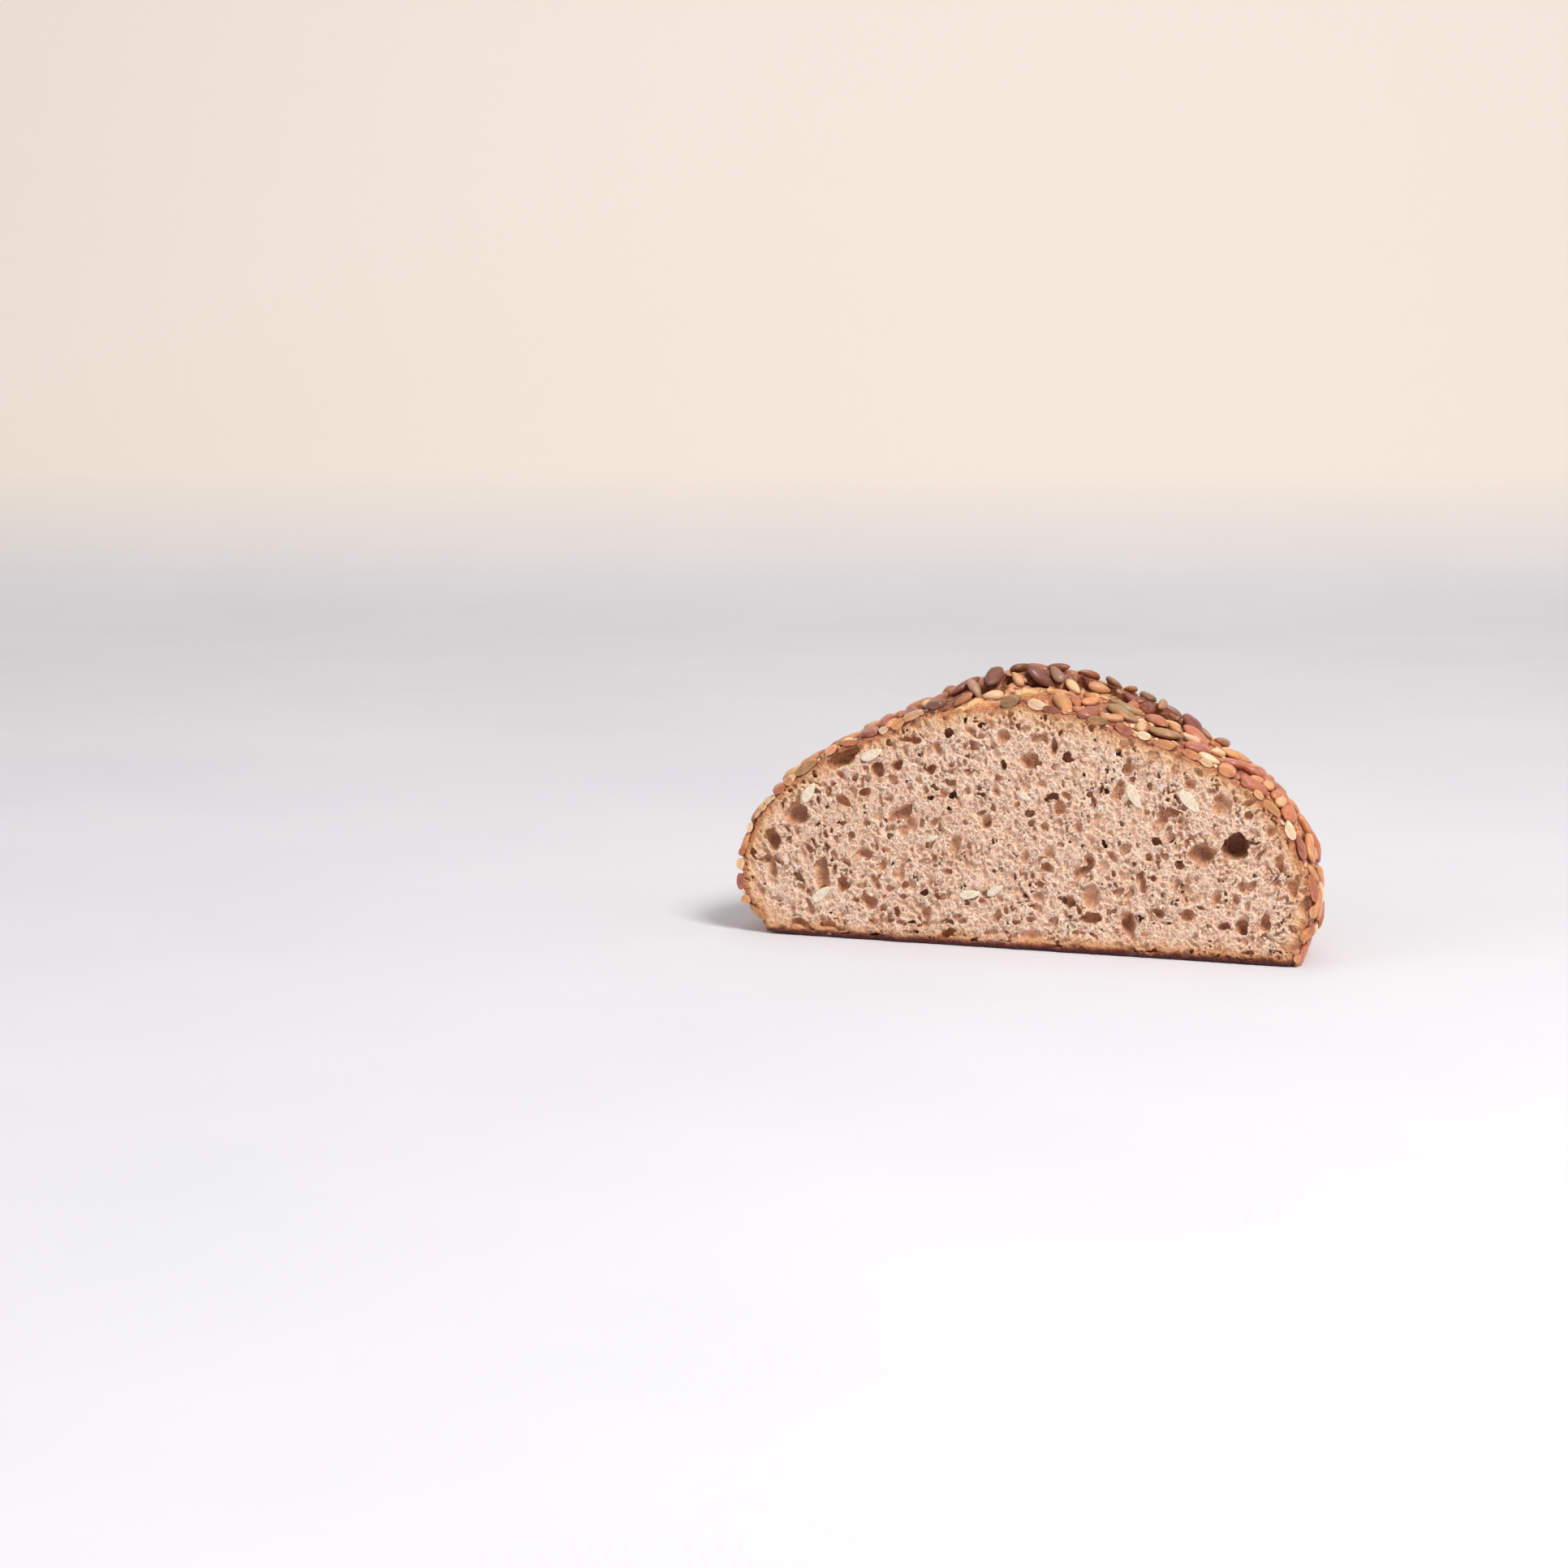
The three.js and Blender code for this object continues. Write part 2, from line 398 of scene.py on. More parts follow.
def burst_masks(x, y):
    """Bare dough, torn edge and lip, each from 0 to 1, then what score_distance says."""
    signed, along = score_distance(x, y)
    wobble = 2.2 * plan_noise(x / 9.0, y / 9.0, 5) + 1.0 * plan_noise(x / 3.5, y / 3.5, 6)
    width = BARE_WIDTH * (1.0 - 0.75 * ease(along, 0.8, 1.0))
    bare = ease(signed + wobble, -width - 1.5, -width + 1.5) * (1.0 - ease(signed, -0.6, 0.6))
    bare = bare * (1.0 - ease(along, 0.96, 1.0))
    torn = hump(signed + 3.5 + 0.4 * wobble, 4.0) * (1.0 - ease(signed, -0.4, 0.4))
    torn = torn * (1.0 - ease(along, 0.85, 1.0))
    lip = ease(signed, 0.0, 1.0) * hump(signed, 9.0) * (1.0 - ease(along, 0.8, 1.0))
    return bare, torn, lip, signed, along


def plan_of(block):
    return np.broadcast_arrays(block.x[:, :, 0], block.y[:, :, 0])


def dough_distance(block):
    """Distance from the dough's own surface, which lies under the seeds and is gently uneven."""
    bare, _, _, signed, along = (m[:, :, None] for m in burst_masks(*plan_of(block)))
    crown, base = ease(block.z, 40.0, 60.0), ease(block.z, 0.5, 8.0)
    depth = SKIN_UNDER_SEEDS + (SKIN_WHERE_BARE - SKIN_UNDER_SEEDS) * bare * crown
    valley = hump(signed + VALLEY_PLACE, VALLEY_WIDTH) * (1.0 - ease(signed, -1.5, 0.5))
    valley = VALLEY_DEPTH * valley * ease(along, 0.14, 0.3) * (1.0 - ease(along, 0.75, 0.95))
    uneven = 0.55 * soft_noise(block, 17.0, 51) + 0.28 * soft_noise(block, 6.0, 52)
    uneven += 0.10 * soft_noise(block, 2.6, 53)
    beside_cut = CUT_TAPER * (1.0 - ease(block.y - CUT_Y, 0.0, 18.0))
    inward = (depth + beside_cut) * base + valley * crown + uneven * (0.2 + 0.8 * base)
    return (block.skin_distance() + inward).astype(np.float32)


# %% [markdown]
# ## The crumb
#
# Crumb is dough set around bubbles of gas. The knife opens the bubbles, so the cut face is a flat
# sponge: many pores of one or two millimetres, fewer of three to five, and a handful of large ones,
# all a little crooked, with thin walls between them. A height map could give dimples, but a pore is
# often wider inside than at its mouth. So bubbles are packed in a block of space, largest first,
# each as big as its free room allows, and the skin of what is left becomes the mesh. The large
# pores are set one by one. Their outlines are ragged, because smaller bubbles ran into them as the
# dough rose, so each of them gets a few smaller ones in its wall.

# %% Pack the bubbles
CRUMB_DEPTH = 12.0
CRUMB_STEP = 0.42  # smaller cubes show finer pores, and cost time and faces
CRUMB_FACES = 197000

crumb_block = Block(
    (BOX_LOW[0], CUT_Y - 1.2, -0.8), (BOX_HIGH[0], CUT_Y + CRUMB_DEPTH + 0.8, 98.0), CRUMB_STEP
)
crumb_dough = dough_distance(crumb_block)
say("the crumb block holds", crumb_dough.size, "cubes")


def crooked_places(block):
    """Cube centres pushed about by noise, so that round bubbles come out crooked."""
    places = []
    for axis, centre in enumerate((block.x, block.y, block.z)):
        push = 0.8 * soft_noise(block, 6.0, 10 + axis)
        push += 0.30 * soft_noise(block, 2.4, 20 + axis)
        push += 0.14 * soft_noise(block, 1.0, 30 + axis)
        places.append(centre + push)
    return places


# Pores large enough to be known one by one: place along the face, height, depth of the middle
# behind the cut, half length, half height, and lean in degrees.
GREAT_PORES = [
    (-70.5, 70.5, 2.2, 7.5, 3.9, 33), (82.0, 44.0, 2.0, 5.6, 4.9, 15),
    (-89.0, 47.0, 1.0, 5.0, 4.0, 25),
    (-43.5, 77.5, 1.2, 4.6, 1.5, 4), (69.5, 40.0, 0.6, 4.6, 4.0, 0), (-98.5, 36.5, 1.2, 3.0, 4.2, 10),
    (-101.0, 28.5, 1.0, 3.0, 1.8, 30), (27.5, 13.5, 1.6, 3.8, 2.6, 10), (63.5, 17.5, 1.4, 3.0, 2.4, -20),
    (77.0, 13.5, 1.2, 2.8, 2.2, 0), (-31.0, 8.8, 1.4, 6.0, 1.0, -4), (-46.0, 50.0, 1.4, 4.4, 2.2, 30),
    (53.0, 52.0, 1.0, 2.2, 6.0, -25), (64.0, 66.0, 0.8, 3.0, 2.0, -30), (52.5, 3.4, 1.2, 2.4, 1.2, 0),
    (-62.0, 33.5, 0.9, 3.6, 1.6, 25), (59.0, 56.0, 0.9, 3.4, 1.6, -12), (1.0, 71.5, 1.2, 2.8, 2.3, -10),
    (-78.0, 23.0, 0.6, 2.6, 8.0, 5), (24.0, 33.0, 0.8, 2.0, 6.0, -20), (42.0, 12.0, 0.6, 4.0, 4.2, 0),
    (103.0, 30.0, 0.8, 2.0, 4.0, 0), (93.0, 15.0, 0.8, 2.4, 3.6, -10), (-14.0, 48.0, 0.7, 3.2, 2.4, 20),
    (-25.0, 39.0, 0.6, 2.4, 3.2, 0), (-60.0, 15.5, 0.9, 3.4, 2.4, 10), (-84.0, 11.0, 0.8, 2.2, 1.6, 0),
    (38.0, 62.0, 0.7, 1.8, 4.2, -35), (46.0, 28.0, 0.8, 2.0, 4.6, 20),
    (86.0, 29.0, 0.6, 3.2, 2.0, 25),
]
GREAT_RAG, CHIP_RAG = 0.34, 0.2  # how far noise moves the wall of a great pore and of its chips
CHIP_SPOT = 0.86  # where the chips sit, as a share of the way from the pore's middle to its wall
OPEN_ROOM = 6.0  # free room before the first bubble is in
NO_FLOOR = 30.0  # deeper than any bubble reaches

# For each round of small bubbles: how many tries, smallest and largest radius, wall to leave, how
# deep they go, share that breaks into others, and where their floors lie.
ROUNDS = [
    (200, 2.2, 3.2, 0.4, 4.0, 0.25, 4.6),
    (1900, 1.4, 2.1, 0.4, 2.4, 0.3, 2.4),
    (11000, 0.95, 1.4, 0.28, 1.5, 0.2, 1.15),
    (34000, 0.62, 0.95, 0.22, 0.8, 0.15, 0.75),
    (40000, 0.42, 0.62, 0.18, 0.5, 0.1, 0.55),
]


def pack_bubbles(block, dough):
    """Free room around every cube after all bubbles are in: negative inside a bubble."""
    rng = np.random.default_rng(7)
    places = crooked_places(block)
    ragged = soft_noise(block, 2.6, 45) + 0.5 * soft_noise(block, 1.2, 46)
    room = np.full(block.shape, OPEN_ROOM, np.float32)
    placed = 0

    def blow(centre, radii, lean, floor=NO_FLOOR, rag=0.0):
        cut = block.window(centre, max(radii) + 2.2)
        dx = places[0][cut] - centre[0]
        dy = (places[1][cut] - centre[1]) / radii[1]
        dz = places[2][cut] - centre[2]
        c, s = math.cos(lean), math.sin(lean)
        u, w = (c * dx + s * dz) / radii[0], (c * dz - s * dx) / radii[2]
        away = (np.sqrt(u * u + w * w + dy * dy) - 1.0) * min(radii)
        if rag:
            away = away + rag * ragged[cut]
        away = np.maximum(away, places[1][cut] - (CUT_Y + floor))
        np.minimum(room[cut], away, out=room[cut])

    chips = np.random.default_rng(17)
    for x, z, deep, long, tall, lean in GREAT_PORES:
        lean, small = math.radians(lean), min(long, tall)
        blow((x, CUT_Y + deep, z), (long, small * 1.25, tall), lean, rag=GREAT_RAG)
        placed += 1
        # smaller pores break into the wall of each great one
        for turn in chips.uniform(0.0, 2 * math.pi, 1 + int(2 * chips.random() + small / 1.6)):
            u, w = long * CHIP_SPOT * math.cos(turn), tall * CHIP_SPOT * math.sin(turn)
            chip = small * chips.uniform(0.25, 0.46)
            across = x + u * math.cos(lean) - w * math.sin(lean)
            up = z + u * math.sin(lean) + w * math.cos(lean)
            behind = CUT_Y + deep * chips.uniform(-0.6, 1.8)
            blow((across, behind, up), (chip, chip * 1.4, chip), 0.0, rag=CHIP_RAG)
            placed += 1

    low = np.array([BOX_LOW[0] + 2, CUT_Y - 1.5, 1.0])
    high = np.array([BOX_HIGH[0] - 2, CUT_Y + 8.0, 97.0])
    for tries, smallest, largest, wall, reach, breaking, floor in ROUNDS:
        spots = low + (high - low) * rng.random((tries, 3))
        spots[:, 1] = CUT_Y - 0.8 * smallest + (reach + smallest) * rng.random(tries) ** 1.3
        sizes = smallest + (largest - smallest) * rng.random(tries) ** 2.0
        breaks = rng.random(tries) < breaking
        leans = rng.normal(0.0, 0.6, tries)
        stretch = rng.normal(0.0, 0.2, (tries, 3))
        at = np.rint((spots - block.low) / block.step).astype(int)
        inside = (dough[at[:, 0], at[:, 1], at[:, 2]] < -1.3) & (spots[:, 2] > 2.2)
        for k in np.flatnonzero(inside):
            spot, size = spots[k], sizes[k]
            free = room[at[k, 0], at[k, 1], at[k, 2]]
            free = free + 0.5 * size if breaks[k] else free - wall
            size = min(size, free)
            if size < smallest * 0.8:
                continue
            reach_out = min(max((abs(spot[0]) - 60.0) / 45.0, 0.0), 1.0)
            side = math.copysign(reach_out, spot[0])
            flat = min(max((22.0 - spot[2]) / 20.0, 0.0), 1.0)
            tall = 1.0 + 0.35 * (1 - flat) * (0.4 + reach_out) - 0.35 * flat
            shape = np.array([1.0 / tall, 1.0, tall]) * np.exp(stretch[k])
            blow(spot, size * shape, leans[k] * 0.6 - 0.5 * side * (1 - flat), floor)
            placed += 1
    say("packed", placed, "bubbles")
    return room


room = pack_bubbles(crumb_block, crumb_dough)

# %% [markdown]
# ## From bubbles to a mesh
#
# The knife leaves the face flat but not smooth: the walls tear a little, so the front is pushed
# about by a few tenths of a millimetre. What lies behind the face, between it and a depth that no
# pore reaches, is one closed slab.

# %% Mesh the crumb
RIM_GAP = 0.35  # the crumb stops this far inside the crust's outside
FLAT_GRAIN = 60.0  # noise cells this deep hardly change from front to back


def crumb_field(block, dough, room):
    tear = 0.16 * soft_noise(block, (1.7, FLAT_GRAIN, 1.7), 41)
    tear += 0.12 * soft_noise(block, (0.8, FLAT_GRAIN, 0.8), 42)
    tear += 0.22 * soft_noise(block, (9.0, FLAT_GRAIN, 9.0), 43)
    front = (CUT_Y + 0.25 - tear) - block.y
    grain = 0.11 * soft_noise(block, 0.8, 44)
    field = np.maximum(-room + grain, front)
    field = np.maximum(field, dough + RIM_GAP + grain)
    field = np.maximum(field, block.y - (CUT_Y + CRUMB_DEPTH))
    return np.maximum(field, 0.3 - block.z + grain)


crumb_mesh = mesh_from_field(
    "crumb", crumb_field(crumb_block, crumb_dough, room), crumb_block, CRUMB_FACES
)
del room, crumb_dough

# %% [markdown]
# ## Where the seeds go
#
# The shaped dough is rolled in seeds before baking, so they lie flat on the skin in every
# direction, close together, and hardly ever on top of each other. Points could be scattered by a
# node, but long seeds need more care than round ones: each is tried as a row of discs, and a try
# that would lie on another seed is dropped. The large seeds go first and the small ones fill in.

# %% Sample the skin
SAMPLES = 76000
SAMPLE_STEP = 2.0


def skin_samples(count):
    """Random spots on the dough, with the way out of it at each."""
    block = Block(BOX_LOW - 4.0, BOX_HIGH + 4.0, SAMPLE_STEP)
    grid = openvdb.FloatGrid()
    grid.copyFromArray(np.ascontiguousarray(dough_distance(block)))
    points, quads = grid.convertToQuads(isovalue=0.0)
    points = points.astype(float) * block.step + block.low
    corners = points[quads]
    middle = corners.mean(axis=1)
    out = np.cross(corners[:, 2] - corners[:, 0], corners[:, 3] - corners[:, 1])
    area = np.linalg.norm(out, axis=1)
    out = out / np.maximum(area, 1e-9)[:, None]
    away = middle - np.array([CENTRE_X, CENTRE_Y, 30.0])
    if (out * away).sum() < 0:
        out = -out
    rng = np.random.default_rng(3)
    # nothing sticks under the loaf, on its baked base, or in the plane of the cut
    keep = (middle[:, 1] > CUT_Y - 3.0) & (middle[:, 2] > 2.5)
    keep &= (out[:, 2] > -0.75) & (out[:, 1] > -0.97)
    area = np.where(keep, area, 0.0)
    picks = rng.choice(len(quads), size=count, p=area / area.sum())
    s, t = rng.random(count)[:, None], rng.random(count)[:, None]
    c = corners[picks]
    spots = (c[:, 0] * (1 - s) + c[:, 1] * s) * (1 - t) + (c[:, 3] * (1 - s) + c[:, 2] * s) * t
    return spots, out[picks]


spots, outward = skin_samples(SAMPLES)
say("sampled the skin at", len(spots), "spots")

# %% [markdown]
# ## Laying the seeds
#
# Each kind of seed has a length, a width and a thickness, and each seed gets its own size, turn,
# colour and roast. Near the lip the seeds were thrown about and roasted darkest. Sesame lies in
# drifts, so a slow noise decides where it may go.

# %% Lay the seeds
class Kind:
    """A kind of seed: its size, how many are wanted and tried, and the discs that keep others off."""

    def __init__(self, name, length, width, thickness, wanted=0, tries=0, discs=(), clear=0.0):
        self.name, self.length, self.width, self.thickness = name, length, width, thickness
        self.wanted, self.tries, self.discs, self.clear = wanted, tries, discs, clear


PUMPKIN = Kind("pumpkin_seeds", 12.2, 7.0, 3.5, 262, 22000, (-0.62, 0.0, 0.62), 0.9)
SUNFLOWER = Kind("sunflower_kernels", 8.4, 4.3, 3.2, 340, 34000, (-0.5, 0.5), 0.74)
SESAME = Kind("sesame_seeds", 3.1, 1.9, 1.3, 900, 20000, (0.0,), 0.85)
STRAY = 0.012  # share of seeds that stick to the bare dough all the same
STACKED = 0.0006  # share of tries that may lie on another seed


def lay_seeds(kinds, spots, outward):
    rng = np.random.default_rng(12)
    taken = np.zeros((0, 3))
    reach = np.zeros(0)
    laid = {}
    first = 0
    for kind in kinds:
        rows = []
        last = min(len(spots), first + kind.tries)
        bare, _, lip, signed, along = burst_masks(spots[first:last, 0], spots[first:last, 1])
        crown = ease(spots[first:last, 2], 55.0, 70.0)
        cluster = plan_noise(spots[first:last, 0] / 22.0, spots[first:last, 1] / 22.0 + 9.0, 8)
        for k in range(first, last):
            if len(rows) >= kind.wanted:
                break
            i = k - first
            if bare[i] * crown[i] > 0.25 and rng.random() > STRAY:
                continue
            if kind is SESAME and cluster[i] + 0.5 * rng.normal() < 0.35:
                continue
            # the torn lip keeps few of the seeds it had
            on_lip = -1.0 < signed[i] < 5.5 and 0.36 < along[i] < 0.85
            if on_lip and crown[i] > 0.2 and rng.random() > 0.12:
                continue
            size = np.clip(rng.normal(1.0, 0.07, 3), 0.82, 1.14)
            turn = rng.random() * 2 * math.pi
            normal = Vector(outward[k])
            side = normal.orthogonal().normalized()
            axis = Matrix.Rotation(turn, 3, normal) @ side
            discs = np.array([
                spots[k] + np.array(axis) * d * kind.length * size[0] / 2 for d in kind.discs
            ])
            radius = kind.width * size[1] / 2 * kind.clear
            if len(taken):
                gap = np.linalg.norm(taken[None] - discs[:, None], axis=2) - reach[None] - radius
                if gap.min() < 0.0 and rng.random() > STACKED:
                    continue
            taken = np.vstack([taken, discs])
            reach = np.concatenate([reach, np.full(len(discs), radius)])
            tilt = 0.09 + 0.13 * lip[i]
            facing = Matrix((axis, normal.cross(axis), normal)).transposed()
            wobble = Matrix.Rotation(rng.normal(0, tilt), 3, "X")
            wobble = wobble @ Matrix.Rotation(rng.normal(0, tilt * 0.8), 3, "Y")
            seat = kind.thickness * (0.26 + 0.14 * rng.random() + 0.08 * lip[i])
            place = spots[k] + np.array(normal) * seat
            roast = 0.85 * lip[i] * crown[i] + 0.35 * ease(place[2], 70.0, 104.0)
            roast = float(np.clip(roast + rng.normal(0.0, 0.16), 0.0, 1.0))
            rows.append((place, facing @ wobble, size, rng.random(), roast))
        first = last
        laid[kind.name] = rows
        say("laid", len(rows), kind.name)
    return laid


laid = lay_seeds((PUMPKIN, SUNFLOWER, SESAME), spots, outward)

# %% [markdown]
# ## The crust
#
# The crust is the skin of the same dough: thin, uneven, pulled up a little round every seed that
# sticks to it, and torn open under the lip. It could be a sheet with thickness, but a baked base, a
# torn lip and a broken rim are simpler as one solid in a block of space, with the room for the
# crumb taken out of its cut side.

# %% Shape the crust
CRUST_STEP = 0.8
CRUST_FACES = 196000
CRUST_RIM = 1.5  # thickness of the crust where the knife went through it
CRUST_OVERLAP = 0.8  # the crust's inside starts this far in front of the crumb's back
BASE_CRUST = 1.7
CREVICE_DEPTH = 7.0
SCORE_LENGTH = 130.0


def pull_up_round(block, field, rows, kind):
    """The dough climbs a little at the edge of each seed, as a collar of soft section."""
    for place, facing, size, _, _ in rows:
        half = kind.length * size[0] / 2
        cut = block.window(place, half + 1.6)
        x, y, z = block.places(cut)
        x, y, z = x - place[0], y - place[1], z - place[2]
        a, b, c = facing.col
        u = (a[0] * x + a[1] * y + a[2] * z) / half
        v = (b[0] * x + b[1] * y + b[2] * z) / (kind.width * size[1] / 2)
        w = (c[0] * x + c[1] * y + c[2] * z) / 2.5
        collar = 0.5 * hump(np.sqrt(u * u + v * v) - 0.92, 0.2) * hump(w, 1.0)
        field[cut] -= collar.astype(np.float32)


def crust_field(block):
    dough = dough_distance(block)
    bare, torn, _, signed, along = (m[:, :, None] for m in burst_masks(*plan_of(block)))
    high = ease(block.z, BURST_FROM, BURST_FULL)
    length = along * SCORE_LENGTH
    strings = plan_noise(signed / 1.6, length / 8.0, 61)
    strings = strings + 0.6 * plan_noise(signed / 0.9, length / 3.0, 62)
    field = dough - high * torn * 0.55 * strings
    field -= high * bare * (0.22 * soft_noise(block, 1.7, 63) + 0.25 * soft_noise(block, 3.6, 64))
    field -= 0.09 * soft_noise(block, 1.6, 65)
    for kind in (PUMPKIN, SUNFLOWER):
        pull_up_round(block, field, laid[kind.name], kind)

    deep = np.clip(-dough, 0.0, CREVICE_DEPTH)
    sway = 0.9 * plan_noise(length / 6.0, length * 0.0, 66)
    sway = sway + 0.4 * plan_noise(length / 2.0, length * 0.0, 67)
    gape = 1.7 * ease(along, 0.16, 0.3) * (1.0 - ease(along, 0.72, 0.88))
    gape = gape * (1.0 - deep / CREVICE_DEPTH) * high
    crevice = np.abs(signed + sway - 0.55 * deep) - gape
    field = np.maximum(field, -crevice * (gape > 0.02) - 9.0 * (gape <= 0.02))

    hollow = np.maximum(dough + CRUST_RIM, block.y - (CUT_Y + CRUMB_DEPTH - CRUST_OVERLAP))
    hollow = np.maximum(hollow, BASE_CRUST - block.z)
    field = np.maximum(field, -hollow)
    field = np.maximum(field, CUT_Y + 0.45 - block.y + 0.12 * soft_noise(block, 1.6, 68))
    pits = 0.22 * np.abs(soft_noise(block, (2.4, 2.4, 40.0), 69))
    return np.maximum(field, 0.12 + pits - block.z).astype(np.float32)


crust_block = Block(BOX_LOW - 2.4, BOX_HIGH + 2.4, CRUST_STEP)
crust_mesh = mesh_from_field("crust", crust_field(crust_block), crust_block, CRUST_FACES)

# %% [markdown]
# ## One seed, many times
#
# All seeds of a kind have the same form: a flat egg with one end drawn to a point. Modelling one
# and copying it by hand would be slow, and a few hundred linked copies are lost when the model is
# exported. A Geometry Nodes tree shapes one seed from a sphere, puts it on every laid point with
# that point's turn and size, makes the copies real, and bends each of them a little.

# %% A tree that grows seeds
def add(tree, kind, **settings):
    node = tree.nodes.new(kind)
    for name, value in settings.items():
        setattr(node, name, value)
    return node


def wire(tree, *pairs):
    for source, target in pairs:
        tree.links.new(source, target)


def seed_tree():
    tree = bpy.data.node_groups.new("seeds_on_points", "GeometryNodeTree")
    face = tree.interface
    face.new_socket("Geometry", in_out="INPUT", socket_type="NodeSocketGeometry")
    for name in ("Length", "Width", "Thickness", "Taper", "Point", "Bend"):
        face.new_socket(name, in_out="INPUT", socket_type="NodeSocketFloat")
    for name in ("Around", "Rings"):
        face.new_socket(name, in_out="INPUT", socket_type="NodeSocketInt")
    face.new_socket("Material", in_out="INPUT", socket_type="NodeSocketMaterial")
    face.new_socket("Geometry", in_out="OUTPUT", socket_type="NodeSocketGeometry")
    start, end = add(tree, "NodeGroupInput"), add(tree, "NodeGroupOutput")
    given = start.outputs

    def maths(operation, *values):
        node = add(tree, "ShaderNodeMath", operation=operation)
        for socket, value in zip(node.inputs, values):
            if isinstance(value, (int, float)):
                socket.default_value = value
            else:
                tree.links.new(value, socket)
        return node.outputs[0]

    def named(name, kind):
        node = add(tree, "GeometryNodeInputNamedAttribute", data_type=kind)
        node.inputs["Name"].default_value = name
        return node.outputs["Attribute"]

    ball = add(tree, "GeometryNodeMeshUVSphere")
    ball.inputs["Radius"].default_value = 1.0
    parts = add(tree, "ShaderNodeSeparateXYZ")
    # the sphere's poles become the seed's two ends
    along, across, up = parts.outputs["Z"], parts.outputs["X"], parts.outputs["Y"]
    tip = maths("POWER", maths("MAXIMUM", along, 0.0), 7.0)
    long = maths("MULTIPLY", maths("ADD", along, maths("MULTIPLY", tip, given["Point"])),
                 maths("MULTIPLY", given["Length"], 0.5))
    narrow = maths("SUBTRACT", 1.0, maths("MULTIPLY", along, given["Taper"]))
    wide = maths("MULTIPLY", maths("MULTIPLY", across, narrow), maths("MULTIPLY", given["Width"], 0.5))
    full = maths("MULTIPLY", maths("SIGN", up), maths("POWER", maths("ABSOLUTE", up), 0.92))
    thick = maths("MULTIPLY", full, maths("MULTIPLY", given["Thickness"], 0.5))
    shape = add(tree, "ShaderNodeCombineXYZ")
    move = add(tree, "GeometryNodeSetPosition")
    keep = add(tree, "GeometryNodeStoreNamedAttribute", data_type="FLOAT_VECTOR", domain="POINT")
    keep.inputs["Name"].default_value = "seed_place"
    copies = add(tree, "GeometryNodeInstanceOnPoints")
    turn = add(tree, "FunctionNodeEulerToRotation")
    real = add(tree, "GeometryNodeRealizeInstances")
    bend = add(tree, "GeometryNodeSetPosition")
    wave = add(tree, "ShaderNodeTexNoise", noise_dimensions="3D")
    wave.inputs["Scale"].default_value = 140.0
    wave.inputs["Detail"].default_value = 1.0
    centred = add(tree, "ShaderNodeVectorMath", operation="SUBTRACT")
    centred.inputs[1].default_value = (0.5, 0.5, 0.5)
    push = add(tree, "ShaderNodeVectorMath", operation="SCALE")
    smooth = add(tree, "GeometryNodeSetShadeSmooth")
    paint = add(tree, "GeometryNodeSetMaterial")
    place = add(tree, "GeometryNodeInputPosition")
    wire(
        tree,
        (given["Around"], ball.inputs["Segments"]), (given["Rings"], ball.inputs["Rings"]),
        (place.outputs[0], parts.inputs[0]),
        (long, shape.inputs["X"]), (wide, shape.inputs["Y"]), (thick, shape.inputs["Z"]),
        (ball.outputs["Mesh"], move.inputs["Geometry"]), (shape.outputs[0], move.inputs["Position"]),
        (move.outputs[0], keep.inputs["Geometry"]), (place.outputs[0], keep.inputs["Value"]),
        (given["Geometry"], copies.inputs["Points"]), (keep.outputs[0], copies.inputs["Instance"]),
        (named("turn", "FLOAT_VECTOR"), turn.inputs[0]), (turn.outputs[0], copies.inputs["Rotation"]),
        (named("size", "FLOAT_VECTOR"), copies.inputs["Scale"]),
        (copies.outputs[0], real.inputs[0]), (real.outputs[0], bend.inputs["Geometry"]),
        (wave.outputs["Color"], centred.inputs[0]), (centred.outputs[0], push.inputs[0]),
        (given["Bend"], push.inputs["Scale"]), (push.outputs[0], bend.inputs["Offset"]),
        (bend.outputs[0], smooth.inputs["Geometry"]), (smooth.outputs[0], paint.inputs["Geometry"]),
        (given["Material"], paint.inputs["Material"]), (paint.outputs[0], end.inputs[0]),
    )
    return tree


SEED_TREE = seed_tree()


def points_mesh(name, rows):
    """A cloud of points that carry each seed's turn, size, tint and roast."""
    mesh = bpy.data.meshes.new(name)
    mesh.vertices.add(len(rows))
    mesh.vertices.foreach_set("co", (np.array([r[0] for r in rows]) * MM).astype(np.float32).ravel())
    turns = [value for row in rows for value in row[1].to_euler()]
    sizes = [value for row in rows for value in row[2]]
    for title, kind, field, values in (
        ("turn", "FLOAT_VECTOR", "vector", turns),
        ("size", "FLOAT_VECTOR", "vector", sizes),
        ("tint", "FLOAT", "value", [row[3] for row in rows]),
        ("roast", "FLOAT", "value", [row[4] for row in rows]),
    ):
        mesh.attributes.new(title, kind, "POINT").data.foreach_set(field, values)
    return mesh


def grow_seeds(kind, rows, material, flesh, around, rings, taper, point, bend):
    holder = bpy.data.objects.new(kind.name + "_points", points_mesh(kind.name + "_points", rows))
    bpy.context.scene.collection.objects.link(holder)
    grow = holder.modifiers.new("grow", "NODES")
    grow.node_group = SEED_TREE
    wanted = {
        "Length": kind.length * MM, "Width": kind.width * MM, "Thickness": kind.thickness * MM,
        "Taper": taper, "Point": point, "Bend": bend * MM, "Around": around, "Rings": rings,
        "Material": material,
    }
    for item in SEED_TREE.interface.items_tree:
        if item.in_out == "INPUT" and item.name in wanted:
            grow[item.identifier] = wanted[item.name]
    mesh = plain_mesh(holder, kind.name)
    bpy.data.objects.remove(holder)
    slice_at_cut(mesh, flesh)
    return link_piece(kind.name, mesh)


